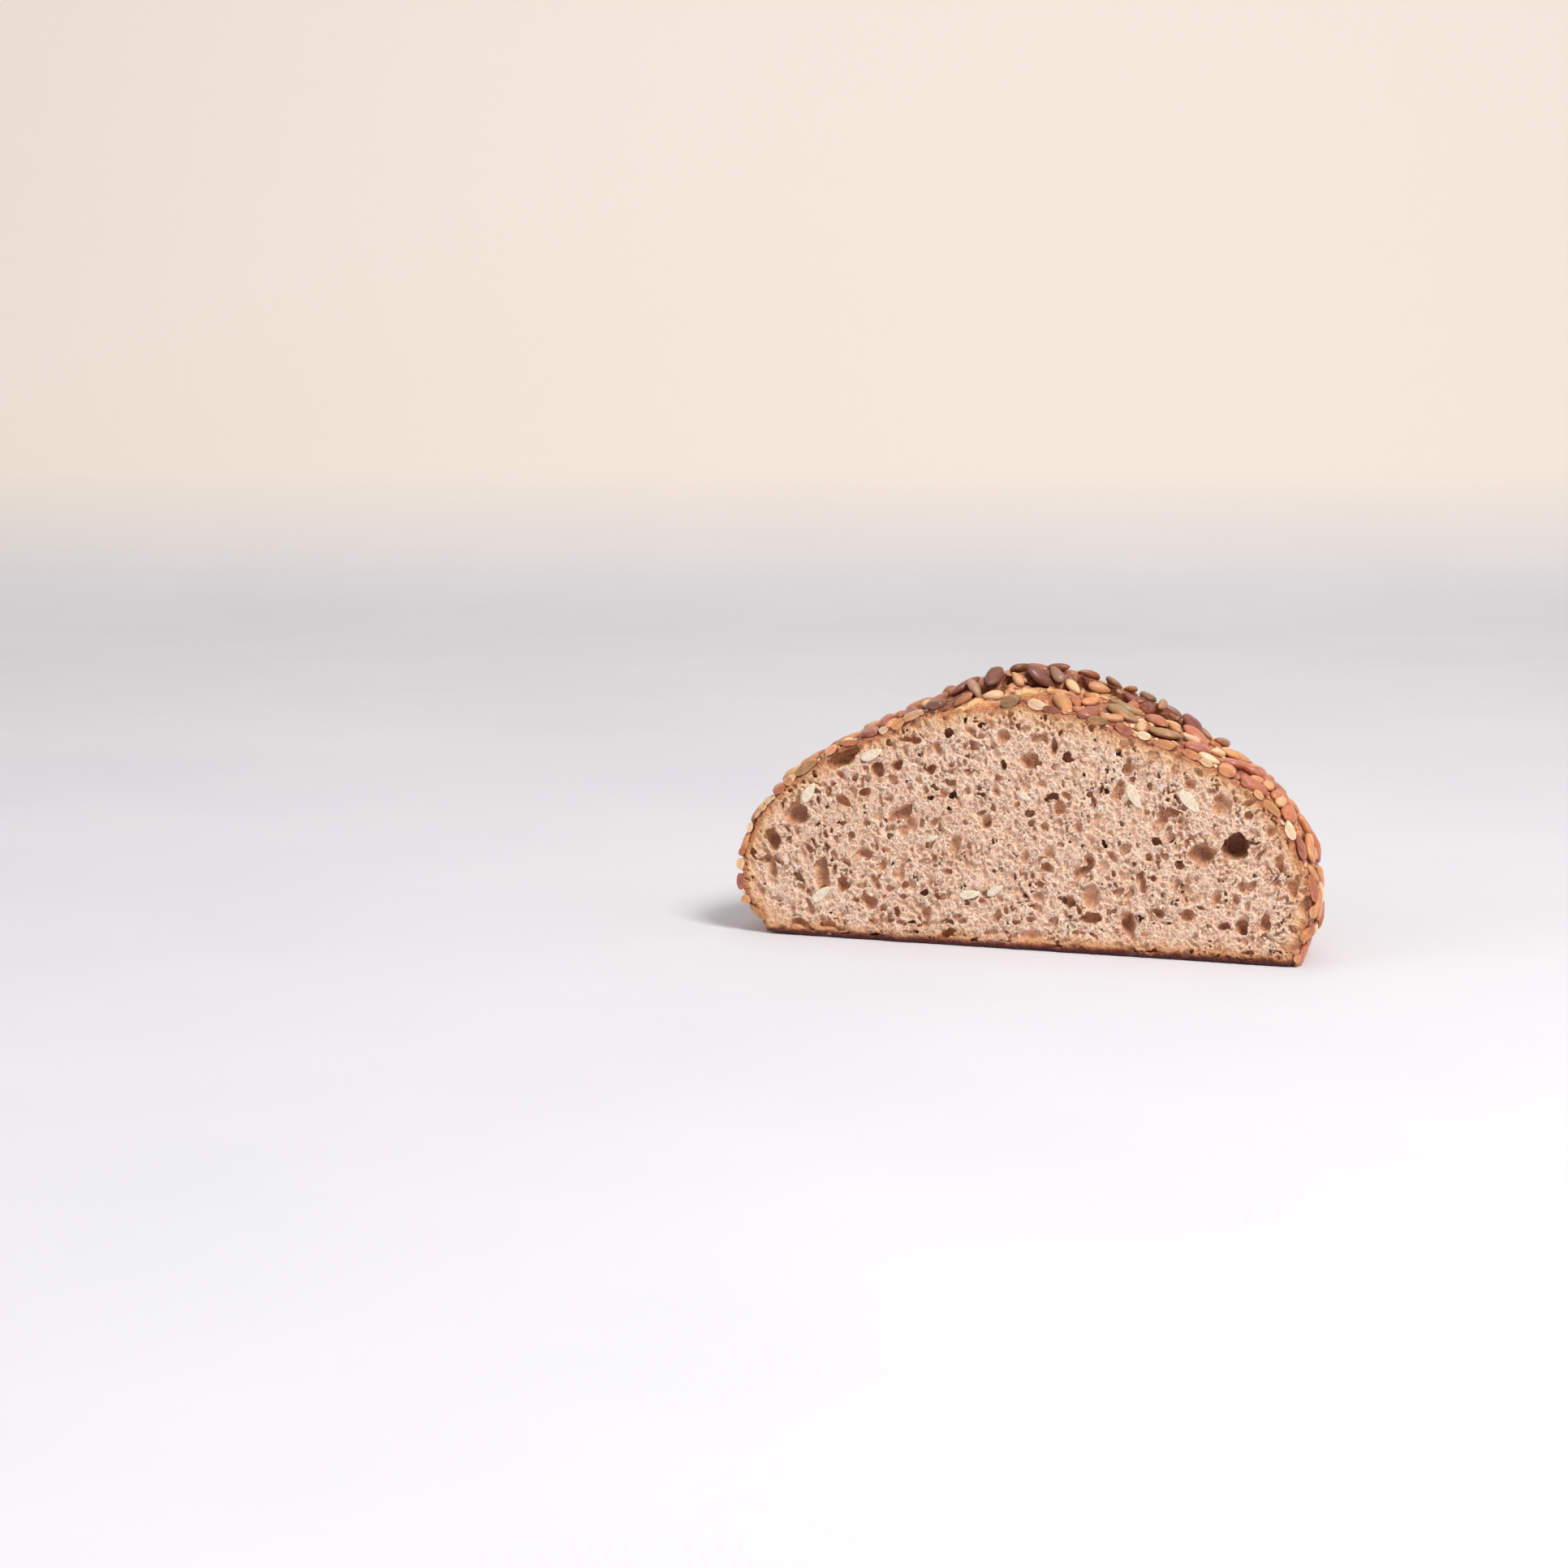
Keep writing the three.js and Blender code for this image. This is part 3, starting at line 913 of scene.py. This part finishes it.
# %% [markdown]
# ## Seeds that met the knife
#
# The knife went through every seed that lay across its path, so those show their pale flesh in the
# cut face. Each mesh is cut with a plane, what is in front is thrown away, and the hole left in
# every cut seed is filled with a face of the flesh material.

# %% Slice and link
SLICE_Y = CUT_Y - 0.05
BASE_GAP = 0.1  # a seed's lowest side lies this far above the floor, at least


def slice_at_cut(mesh, flesh):
    mesh.materials.append(flesh)
    work = bmesh.new()
    work.from_mesh(mesh)
    every = work.verts[:] + work.edges[:] + work.faces[:]
    bmesh.ops.bisect_plane(
        work, geom=every, plane_co=(0, SLICE_Y * MM, 0), plane_no=(0, -1, 0), clear_outer=True
    )
    rim = [edge for edge in work.edges if edge.is_boundary]
    filled = bmesh.ops.holes_fill(work, edges=rim, sides=0)["faces"]
    for face in filled:
        face.material_index = 1
        face.smooth = False
    for corner in work.verts:
        corner.co.z = max(corner.co.z, BASE_GAP * MM)  # the stone it baked on pressed these flat
    bmesh.ops.recalc_face_normals(work, faces=work.faces)
    work.to_mesh(mesh)
    work.free()
    say(mesh.name, len(filled), "seeds were cut through")


def link_piece(name, mesh, *materials):
    piece = bpy.data.objects.new(name, mesh)
    bpy.context.scene.collection.objects.link(piece)
    for material in materials:
        mesh.materials.append(material)
    return piece


# %% [markdown]
# ## Materials, in layers
#
# Bread has no single colour anywhere. Each material below starts from a base colour and lays
# others over it, through noise at the size the real marks have, or through a mask stored on the
# mesh. A small builder class keeps these layers short to write. All noise reads object places, so
# the pattern stays on the piece from every side.

# %% A builder for layered materials
def shade(red, green, blue):
    """A colour from screen values 0 to 255 to the linear values that shaders use."""
    values = []
    for value in (red, green, blue):
        value = value / 255.0
        values.append(value / 12.92 if value <= 0.04045 else ((value + 0.055) / 1.055) ** 2.4)
    return (*values, 1.0)


class Layers:
    """A material that is built up one layer after the other on a Principled shader."""

    def __init__(self, name):
        self.material = bpy.data.materials.new(name)
        self.material.use_nodes = True
        self.tree = self.material.node_tree
        self.shader = self.tree.nodes["Principled BSDF"]
        self.place = add(self.tree, "ShaderNodeTexCoord").outputs["Object"]

    def set(self, **values):
        """Plain numbers for the shader's own sockets, with _ for a space in the name."""
        for name, value in values.items():
            self.shader.inputs[name.replace("_", " ")].default_value = value

    def link(self, value, socket):
        if isinstance(value, bpy.types.NodeSocket):
            self.tree.links.new(value, socket)
        else:
            socket.default_value = value

    def attribute(self, name, output="Fac"):
        return add(self.tree, "ShaderNodeAttribute", attribute_name=name).outputs[output]

    def split(self, vector):
        node = add(self.tree, "ShaderNodeSeparateXYZ")
        self.tree.links.new(vector, node.inputs[0])
        return node.outputs

    def maths(self, operation, *values, clamp=False):
        node = add(self.tree, "ShaderNodeMath", operation=operation, use_clamp=clamp)
        for socket, value in zip(node.inputs, values):
            self.link(value, socket)
        return node.outputs[0]

    def stretched(self, vector, scale):
        node = add(self.tree, "ShaderNodeMapping")
        self.tree.links.new(vector, node.inputs["Vector"])
        node.inputs["Scale"].default_value = scale
        return node.outputs[0]

    def noise(self, size, detail=2.0, rough=0.55, vector=None, output="Fac"):
        """Noise whose bumps are about `size` millimetres wide."""
        node = add(self.tree, "ShaderNodeTexNoise")
        self.tree.links.new(vector or self.place, node.inputs["Vector"])
        node.inputs["Scale"].default_value = 1.0 / (size * MM)
        node.inputs["Detail"].default_value = detail
        node.inputs["Roughness"].default_value = rough
        return node.outputs[output]

    def cells(self, size, vector=None, feature="F1"):
        """Cells about `size` millimetres wide, as the distance from their middles or edges."""
        node = add(self.tree, "ShaderNodeTexVoronoi", feature=feature)
        self.tree.links.new(vector or self.place, node.inputs["Vector"])
        node.inputs["Scale"].default_value = 1.0 / (size * MM)
        return node.outputs["Distance"]

    def warped(self, size, amount):
        """Object places pushed about, so that cells and lines come out crooked."""
        push = add(self.tree, "ShaderNodeVectorMath", operation="SUBTRACT")
        self.tree.links.new(self.noise(size, 2.0, output="Color"), push.inputs[0])
        push.inputs[1].default_value = (0.5, 0.5, 0.5)
        node = add(self.tree, "ShaderNodeVectorMath", operation="MULTIPLY_ADD")
        self.tree.links.new(push.outputs[0], node.inputs[0])
        node.inputs[1].default_value = (amount * MM,) * 3
        self.tree.links.new(self.place, node.inputs[2])
        return node.outputs[0]

    def between(self, value, low, high):
        """0 at low, 1 at high, straight between them."""
        node = add(self.tree, "ShaderNodeMapRange", clamp=True)
        self.link(value, node.inputs["Value"])
        node.inputs["From Min"].default_value = low
        node.inputs["From Max"].default_value = high
        return node.outputs[0]

    def mix(self, amount, below, above):
        """The colour below where amount is 0, the one above where it is 1."""
        node = add(self.tree, "ShaderNodeMix", data_type="RGBA", blend_type="MIX")
        self.link(amount, node.inputs["Factor"])
        self.link(below, node.inputs["A"])
        self.link(above, node.inputs["B"])
        return node.outputs["Result"]

    def ramp(self, value, *stops):
        node = add(self.tree, "ShaderNodeValToRGB")
        self.tree.links.new(value, node.inputs[0])
        elements = node.color_ramp.elements
        while len(elements) < len(stops):
            elements.new(0.5)
        for element, (place, colour) in zip(elements, stops):
            element.position = place
            element.color = colour
        return node.outputs["Color"]

    def bump(self, *heights):
        """Stacks (height, strength, depth in millimetres) bumps on the shader's normal."""
        normal = None
        for height, strength, depth in heights:
            node = add(self.tree, "ShaderNodeBump")
            node.inputs["Strength"].default_value = strength
            node.inputs["Distance"].default_value = depth * MM
            self.tree.links.new(height, node.inputs["Height"])
            if normal is not None:
                self.tree.links.new(normal, node.inputs["Normal"])
            normal = node.outputs[0]
        self.tree.links.new(normal, self.shader.inputs["Normal"])

    def finish(self, colour, rough):
        self.link(colour, self.shader.inputs["Base Color"])
        self.link(rough, self.shader.inputs["Roughness"])
        return self.material


# %% [markdown]
# ## The crumb's colour
#
# Crumb is pale and soft, and light sinks into its thin walls, so it gets some subsurface
# scattering. Deep in the pores the gluten film is smoother, and the pores are painted darker and
# browner the deeper they go behind the cut, as painted shade. The middles of the small foam cells
# get painted shade as well, and pale specks on the face are painted highlights. Towards the crust
# the crumb dries and turns orange-brown within a few millimetres, and over the baked base it is
# darkest. Bran from the wholemeal flour leaves small dark flecks.

# %% Crumb
def crumb_material():
    m = Layers("crumb")
    _, depth, z = m.split(m.place)
    depth = m.maths("SUBTRACT", depth, CUT_Y * MM)
    rim = m.attribute("rim")
    uneven, fine = m.noise(13.0, 3.0), m.noise(0.8, 3.0, 0.6)
    warped = m.warped(0.9, 0.9)
    walls = m.between(m.cells(2.7, warped, "DISTANCE_TO_EDGE"), 0.02, 0.24)
    small = m.between(m.cells(1.25, warped, "DISTANCE_TO_EDGE"), 0.03, 0.3)
    foam_cell_shade = m.maths("MULTIPLY", walls, m.maths("ADD", m.maths("MULTIPLY", small, 0.55), 0.45))
    base = m.mix(m.between(uneven, 0.35, 0.68), shade(248, 210, 180), shade(242, 197, 164))
    # painted shade: the middles of the small foam cells are darker, for shade in hollows too small to
    # model
    colour = m.mix(m.maths("MULTIPLY", foam_cell_shade, 0.85), base, shade(200, 138, 104))
    # painted highlight: pale specks where the fine noise is high stand in for glints on the crumb's
    # walls
    colour = m.mix(m.maths("MULTIPLY", m.between(fine, 0.5, 0.6), 0.8), colour, shade(255, 241, 228))
    # painted shade: the crumb turns darker and browner the deeper a spot lies behind the cut, inside the
    # pores; the same mask makes the pores glossier
    inside = m.between(m.maths("ADD", depth, m.maths("MULTIPLY", fine, 0.0012)), 0.001, 0.0032)
    colour = m.mix(inside, colour, shade(218, 160, 124))
    colour = m.mix(m.between(depth, 0.0028, 0.0075), colour, shade(138, 88, 64))
    mauve = m.maths("MULTIPLY", m.between(m.noise(4.0, 3.0), 0.56, 0.7), 0.24)
    colour = m.mix(mauve, colour, shade(196, 154, 142))
    fleck = m.between(m.cells(2.6), 0.17, 0.11)
    fleck = m.maths("MULTIPLY", fleck, m.between(m.noise(2.2, 0.0), 0.5, 0.58))
    colour = m.mix(m.maths("MULTIPLY", fleck, 0.75), colour, shade(116, 70, 66))
    wander = m.maths("MULTIPLY", m.maths("SUBTRACT", m.noise(4.0, 3.0), 0.5), 3.4)
    near = m.maths("ADD", rim, wander)
    colour = m.mix(m.maths("MULTIPLY", m.between(near, 7.5, 1.2), 0.65), colour, shade(236, 174, 112))
    colour = m.mix(m.maths("MULTIPLY", m.between(near, 2.2, 0.4), 0.75), colour, shade(188, 108, 64))
    low = m.maths("ADD", m.maths("MULTIPLY", z, 1000.0), m.maths("MULTIPLY", wander, 0.7))
    colour = m.mix(m.maths("MULTIPLY", m.between(low, 6.5, 3.0), 0.6), colour, shade(206, 140, 92))
    colour = m.mix(m.maths("MULTIPLY", m.between(low, 3.4, 2.3), 0.85), colour, shade(140, 72, 48))
    colour = m.mix(m.between(low, 2.5, 1.4), colour, shade(84, 38, 34))
    pits = m.maths("SUBTRACT", 1.0, foam_cell_shade)
    m.bump((pits, 1.0, 0.7), (fine, 0.7, 0.35), (m.noise(0.35, 2.0), 0.4, 0.14))
    m.set(Subsurface_Weight=0.3, Subsurface_Radius=(1.0, 0.55, 0.35), Subsurface_Scale=0.0014)
    m.set(Specular_IOR_Level=0.35)
    dry, glossy = (0.85, 0.85, 0.85, 1.0), (0.55, 0.55, 0.55, 1.0)
    return m.finish(colour, m.mix(inside, dry, glossy))


# %% [markdown]
# ## The crust's colour
#
# A crust browns unevenly: golden where the dough stayed damp or floury, orange-brown over most of
# the side, and dark chestnut to plum on the crown, which is nearest to the heat. The bare dough in
# the burst has a grain of its own, mottled orange and plum, and pale where it tore last.

# %% Crust
def crust_material():
    m = Layers("crust")
    z = m.split(m.place)[2]
    bare, torn, lip = m.attribute("bare"), m.attribute("torn"), m.attribute("lip")
    broad, middle, fine = m.noise(24.0, 3.0), m.noise(6.0, 3.0), m.noise(1.3, 4.0, 0.7)
    grit = m.noise(0.6, 3.0, 0.65, vector=m.stretched(m.place, (0.35, 0.6, 1.0)))
    colour = m.mix(m.between(broad, 0.36, 0.62), shade(226, 155, 100), shade(203, 118, 73))
    colour = m.mix(m.between(middle, 0.42, 0.62), colour, shade(181, 90, 56))
    colour = m.mix(m.between(fine, 0.49, 0.36), colour, shade(132, 58, 42))
    colour = m.mix(m.maths("MULTIPLY", m.between(grit, 0.49, 0.38), 0.6), colour, shade(150, 66, 48))
    colour = m.mix(m.maths("MULTIPLY", m.between(fine, 0.53, 0.64), 0.7), colour, shade(242, 196, 150))
    colour = m.mix(m.maths("MULTIPLY", m.between(grit, 0.52, 0.64), 0.65), colour, shade(250, 214, 172))
    top = m.maths("MULTIPLY", m.between(z, 0.06, 0.1), m.between(middle, 0.3, 0.6))
    colour = m.mix(m.maths("MULTIPLY", top, 0.6), colour, shade(138, 66, 42))
    grain = m.noise(1.9, 4.0, 0.7)
    fresh = m.mix(m.between(grain, 0.38, 0.6), shade(214, 128, 76), shade(158, 76, 52))
    fresh = m.mix(m.between(m.noise(11.0, 4.0, 0.65), 0.47, 0.62), fresh, shade(130, 56, 48))
    fresh = m.mix(m.maths("MULTIPLY", m.between(grit, 0.49, 0.38), 0.5), fresh, shade(120, 44, 42))
    fresh = m.mix(m.maths("MULTIPLY", m.between(grit, 0.52, 0.64), 0.75), fresh, shade(246, 190, 136))
    colour = m.mix(bare, colour, fresh)
    tear = m.maths("MULTIPLY", torn, m.between(m.noise(3.0, 4.0, 0.6), 0.38, 0.56))
    colour = m.mix(tear, colour, shade(240, 190, 132))
    colour = m.mix(m.maths("MULTIPLY", lip, 0.5), colour, shade(92, 40, 32))
    # painted contact shade: the crust is darkened where it meets the edge of a seed
    colour = m.mix(m.maths("MULTIPLY", m.attribute("painted_seed_shade"), 0.7), colour, shade(92, 38, 30))
    rough_z = m.maths("ADD", z, m.maths("MULTIPLY", m.maths("SUBTRACT", middle, 0.5), 0.012))
    colour = m.mix(m.between(rough_z, 0.0045, 0.0014), colour, shade(88, 42, 34))
    ash = m.maths("MULTIPLY", m.between(m.noise(2.4, 3.0), 0.55, 0.7), m.between(z, 0.002, 0.0008))
    colour = m.mix(ash, colour, shade(158, 104, 74))
    m.bump((m.noise(3.0, 3.0), 0.4, 0.7), (fine, 0.7, 0.6), (grit, 0.6, 0.3))
    m.set(Specular_IOR_Level=0.4, Subsurface_Weight=0.06, Subsurface_Radius=(1.0, 0.5, 0.25))
    m.set(Subsurface_Scale=0.001)
    return m.finish(colour, m.between(m.noise(2.2, 2.0), 0.0, 1.15))


# %% [markdown]
# ## The seeds' colours
#
# Hulled pumpkin seeds are green, and toasting takes them through olive and orange-brown to plum, so
# one colour ramp, read at each seed's own tint, gives the whole tray of colours. Sunflower kernels
# run from beige to tan, and sesame from cream to gold. Along each seed run fine wrinkles. Each seed
# is also painted darker towards its middle plane, as painted contact shade along the edge that
# meets the crust.

# %% Seeds
def seed_material(name, stops, dark, edge, wrinkle, rough, coat):
    m = Layers(name)
    tint, roast = m.attribute("tint"), m.attribute("roast")
    place = m.attribute("seed_place", "Vector")
    streaks = m.noise(0.55, 4.0, 0.68, vector=m.stretched(place, (0.18, 1.0, 1.0)))
    blotch = m.noise(4.0, 2.0)
    mixed = m.maths("ADD", tint, m.maths("MULTIPLY", m.maths("SUBTRACT", blotch, 0.5), 0.6), clamp=True)
    colour = m.ramp(mixed, *stops)
    pale = m.mix(0.5, colour, shade(250, 200, 150))
    colour = m.mix(m.maths("MULTIPLY", m.between(streaks, 0.48, 0.7), 0.6), colour, pale)
    deep = m.mix(0.5, colour, dark)
    colour = m.mix(m.maths("MULTIPLY", m.between(streaks, 0.46, 0.3), 0.6), colour, deep)
    # painted contact shade: each seed is darker towards its middle plane, along the edge that meets the
    # crust
    height = m.maths("ABSOLUTE", m.split(place)[2])
    colour = m.mix(m.maths("MULTIPLY", m.between(height, edge * MM, 0.0), 0.4), colour, deep)
    colour = m.mix(m.maths("MULTIPLY", roast, 0.8), colour, dark)
    m.bump((m.noise(2.4, 2.0), 0.5, 0.5), (streaks, 0.7, wrinkle), (m.noise(0.5, 2.0), 0.3, 0.1))
    m.set(Specular_IOR_Level=0.6, Coat_Weight=coat, Coat_Roughness=0.22)
    m.set(Subsurface_Weight=0.08, Subsurface_Radius=(1.0, 0.6, 0.3), Subsurface_Scale=0.0008)
    return m.finish(colour, rough)


pumpkin_skin = seed_material(
    "pumpkin_seed",
    [(0.0, shade(156, 124, 66)), (0.12, shade(186, 130, 74)), (0.32, shade(232, 158, 94)),
     (0.56, shade(206, 113, 66)), (0.8, shade(198, 107, 79)), (1.0, shade(142, 62, 45))],
    shade(80, 34, 28), 1.0, 0.5, 0.33, 0.45,
)
sunflower_skin = seed_material(
    "sunflower_kernel",
    [(0.0, shade(254, 221, 182)), (0.35, shade(246, 189, 136)), (0.7, shade(228, 147, 93)),
     (1.0, shade(190, 106, 66))],
    shade(116, 60, 42), 0.75, 0.34, 0.44, 0.2,
)
sesame_skin = seed_material(
    "sesame_seed",
    [(0.0, shade(252, 226, 190)), (0.6, shade(240, 200, 152)), (1.0, shade(208, 150, 104))],
    shade(140, 84, 56), 0.2, 0.10, 0.5, 0.1,
)


def flesh_material():
    m = Layers("seed_flesh")
    colour = m.mix(m.between(m.noise(1.2, 2.0), 0.4, 0.65), shade(240, 226, 204), shade(224, 204, 174))
    m.set(Subsurface_Weight=0.2, Subsurface_Radius=(1.0, 0.8, 0.4), Subsurface_Scale=0.001)
    m.bump((m.noise(0.5, 2.0), 0.2, 0.1))
    return m.finish(colour, 0.6)


seed_flesh = flesh_material()
say("materials made")

# %% [markdown]
# ## Marks on the crumb and the crust
#
# Some colours follow the shape: crumb is browner near its crust, dough is bare in the burst, and
# crust is painted dark where it meets the edge of a seed, as painted contact shade. These could be
# painted by hand. Instead each spot of the mesh gets a number for each mark, worked out from the
# same formula, and the materials read them.

# %% Put the crumb and the crust together
RIM_STEP = 1.0
CRUMB_TOP = 100.0


def give_values(mesh, name, values):
    layer = mesh.attributes.new(name, "FLOAT", "POINT")
    layer.data.foreach_set("value", np.asarray(values, np.float32))


def vertex_places(mesh):
    places = np.empty(len(mesh.vertices) * 3, np.float32)
    mesh.vertices.foreach_get("co", places)
    return places.reshape(-1, 3).astype(float) / MM


def rim_distance(mesh):
    """How far each spot of the crumb lies from the crust, in millimetres, seen from the front."""
    xs = np.arange(BOX_LOW[0], BOX_HIGH[0], RIM_STEP)
    zs = np.arange(0.0, CRUMB_TOP, RIM_STEP)
    strip = Block((xs[0], CUT_Y, zs[0]), (xs[-1], CUT_Y + 2.0, zs[-1]), RIM_STEP)
    inside = dough_distance(strip)[:, 1, :] < 0
    edge = inside & ~(
        np.roll(inside, 1, 0) & np.roll(inside, -1, 0) & np.roll(inside, 1, 1) & np.roll(inside, -1, 1)
    )
    edge[:, 0] = False
    ex, ez = np.nonzero(edge)
    rim = np.stack([strip.low[0] + ex, strip.low[2] + ez], 1)
    places = vertex_places(mesh)[:, [0, 2]]
    away = np.full(len(places), FAR)
    for spot in rim:
        away = np.minimum(away, ((places - spot) ** 2).sum(axis=1))
    return np.sqrt(away)


def seed_contact_shade(places):
    """Painted contact shade: 1 where the crust meets the edge of a large seed, 0 a little further off.
    """
    mark = np.zeros(len(places))
    for kind in (PUMPKIN, SUNFLOWER):
        for place, facing, size, _, _ in laid[kind.name]:
            away = places - place
            close = np.flatnonzero(np.abs(away).max(axis=1) < kind.length * 0.75)
            flat = away[close] @ np.array(facing)
            flat = flat / (np.array((kind.length, kind.width, 8.0)) * size / 2)
            reach = np.linalg.norm(flat, axis=1)
            mark[close] = np.maximum(mark[close], 1.0 - ease(reach, 0.98, 1.28))
    return mark


for mesh in (crumb_mesh, crust_mesh):
    mesh.polygons.foreach_set("use_smooth", np.ones(len(mesh.polygons), bool))
give_values(crumb_mesh, "rim", rim_distance(crumb_mesh))
skin_places = vertex_places(crust_mesh)
bare, torn, lip, _, _ = burst_masks(skin_places[:, 0], skin_places[:, 1])
crown = ease(skin_places[:, 2], BURST_FROM, BURST_FULL)
for name, values in (("bare", bare), ("torn", torn), ("lip", lip)):
    give_values(crust_mesh, name, values * crown)
give_values(crust_mesh, "painted_seed_shade", seed_contact_shade(skin_places))

crumb = link_piece("crumb", crumb_mesh, crumb_material())
crust = link_piece("crust", crust_mesh, crust_material())
say("crumb and crust are in place")

# %% [markdown]
# ## Growing the seeds
#
# A pumpkin seed is a wide flat oval with a small point. A sunflower kernel is slimmer and tapers
# more, and a sesame seed is a tiny drop. One tree makes all three from a few numbers. The smaller
# the seed, the fewer faces it gets, because there are hundreds of them.

# %% Grow the seeds
pumpkin = grow_seeds(
    PUMPKIN, laid[PUMPKIN.name], pumpkin_skin, seed_flesh,
    around=12, rings=9, taper=0.1, point=0.07, bend=2.0,
)
sunflower = grow_seeds(
    SUNFLOWER, laid[SUNFLOWER.name], sunflower_skin, seed_flesh,
    around=10, rings=7, taper=0.24, point=0.14, bend=0.8,
)
sesame = grow_seeds(
    SESAME, laid[SESAME.name], sesame_skin, seed_flesh,
    around=8, rings=5, taper=0.3, point=0.1, bend=0.25,
)

# %% [markdown]
# ## Kernels in the crumb
#
# A handful of kernels were kneaded into the dough, and the knife laid them bare as flat, pale
# ovals. They are set one by one, each lying almost in the cut face, and grown by the same tree.

# %% Kernels in the cut face
IN_CRUMB = Kind("crumb_seeds", 8.8, 4.0, 2.6)
KERNELS = [  # place along the face, height, lean in degrees, size
    (-84.0, 55.4, 58, 1.0), (-59.0, 71.4, 24, 1.0), (43.0, 60.8, -62, 1.05), (64.0, 59.9, -48, 1.15),
    (-35.0, 40.4, 20, 0.55), (-79.0, 16.4, 42, 1.0), (-20.0, 20.0, 8, 0.9), (-10.0, 22.0, 32, 0.8),
    (1.3, 58.2, -25, 0.6),
]
KERNEL_DEPTH = 0.55  # the middle of each kernel lies this far behind the cut


def kernels_in_crumb():
    rows = []
    for number, (x, z, lean, size) in enumerate(KERNELS):
        lean = math.radians(lean)
        axis, normal = Vector((math.cos(lean), 0, math.sin(lean))), Vector((0, -1, 0))
        turn = Matrix((axis, normal.cross(axis), normal)).transposed()
        turn = turn @ Matrix.Rotation(0.12 * (number % 3 - 1), 3, "X")
        place = np.array((x, CUT_Y + KERNEL_DEPTH, z))
        rows.append((place, turn, np.full(3, size), 0.1 * number, 0.0))
    return rows


in_crumb = grow_seeds(
    IN_CRUMB, kernels_in_crumb(), seed_flesh, seed_flesh,
    around=14, rings=9, taper=0.2, point=0.12, bend=0.5,
)

# %% [markdown]
# ## Table, wall and light
#
# The loaf stands on a plain pale table that sweeps up into a plain pale wall. The light is that of a
# bright kitchen: a broad soft source high on the right, a weaker one from the left, and a pale sky
# all round, so that shadows are short and soft.

# %% Stage and light
TABLE_FRONT = -9.0  # metres, measured away from the camera
TABLE_BACK = 1.05
BEND_RADIUS = 0.5
BEND_STEPS = 12
WALL_TOP = 5.0
TABLE_SIDE = 30.0


def make_stage():
    data = bpy.data.meshes.new("table")
    ahead = Vector((-math.sin(CAMERA_AZIMUTH), math.cos(CAMERA_AZIMUTH)))
    aside = Vector((ahead.y, -ahead.x))
    profile = [(TABLE_FRONT, 0.0), (TABLE_BACK, 0.0)]
    for k in range(1, BEND_STEPS + 1):
        a = k / BEND_STEPS * math.pi / 2
        profile.append((TABLE_BACK + BEND_RADIUS * math.sin(a), BEND_RADIUS * (1 - math.cos(a))))
    profile.append((TABLE_BACK + BEND_RADIUS, WALL_TOP))
    corners, faces = [], []
    for side in (-TABLE_SIDE, TABLE_SIDE):
        for reach, height in profile:
            spot = ahead * reach + aside * side
            corners.append((spot.x, spot.y, height))
    n = len(profile)
    for k in range(n - 1):
        faces.append((k, n + k, n + k + 1, k + 1))
    data.from_pydata(corners, [], faces)
    data.polygons.foreach_set("use_smooth", [True] * len(data.polygons))
    m = Layers("table")
    cloth = m.noise(220.0, 3.0)
    colour = m.mix(m.between(cloth, 0.3, 0.7), shade(217, 218, 224), shade(223, 223, 229))
    height = m.split(m.place)[2]
    colour = m.mix(m.between(height, 0.01, 0.09), colour, shade(247, 235, 223))
    m.bump((m.noise(1.4, 2.0), 0.08, 0.3))
    stage = link_piece("table", data, m.finish(colour, 0.9))
    stage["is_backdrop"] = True


def make_light(name, place, size, power, colour, towards=(0.0, 0.0, 0.04)):
    data = bpy.data.lights.new(name, "AREA")
    data.energy, data.size, data.color = power, size, colour
    lamp = bpy.data.objects.new(name, data)
    bpy.context.scene.collection.objects.link(lamp)
    lamp.location = place
    lamp.rotation_mode = "QUATERNION"
    lamp.rotation_quaternion = (Vector(towards) - Vector(place)).to_track_quat("-Z", "Y")


def make_sky(strength):
    world = bpy.data.worlds.new("sky")
    bpy.context.scene.world = world
    world.use_nodes = True
    background = world.node_tree.nodes["Background"]
    background.inputs["Color"].default_value = (0.96, 0.975, 1.0, 1.0)
    background.inputs["Strength"].default_value = strength


make_stage()
make_light("window", (0.95, -0.85, 1.45), 0.55, 31.0, (1.0, 0.975, 0.94))
make_light("fill", (-1.5, -1.2, 1.0), 1.4, 5.0, (0.96, 0.98, 1.0))
make_light("wall", (-0.1, 0.5, 1.7), 1.0, 4.5, (1.0, 0.985, 0.96), towards=(-0.5, 1.7, 0.3))
make_sky(0.45)
bpy.context.scene.view_settings.view_transform = "Standard"

# %% [markdown]
# ## Attaching the pieces
#
# Every piece is told which body it moves with, and the plain solid is hidden. The size of the
# finished loaf is printed, as the plain solid's size was at the start.

# %% Attach the pieces
for piece, slot in (
    (crust, "crust"), (crumb, "crumb"), (pumpkin, "pumpkin_seed"), (sunflower, "sunflower_kernel"),
    (sesame, "sesame_seed"), (in_crumb, "seed_flesh"),
):
    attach(piece, "root")
    say(piece.name, sum(len(p.vertices) - 2 for p in piece.data.polygons), "triangles")
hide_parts("half_loaf")
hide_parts("half_loaf")

low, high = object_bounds()
say("the finished box is", [round(1000 * (b - a), 1) for a, b in zip(low, high)], "mm")
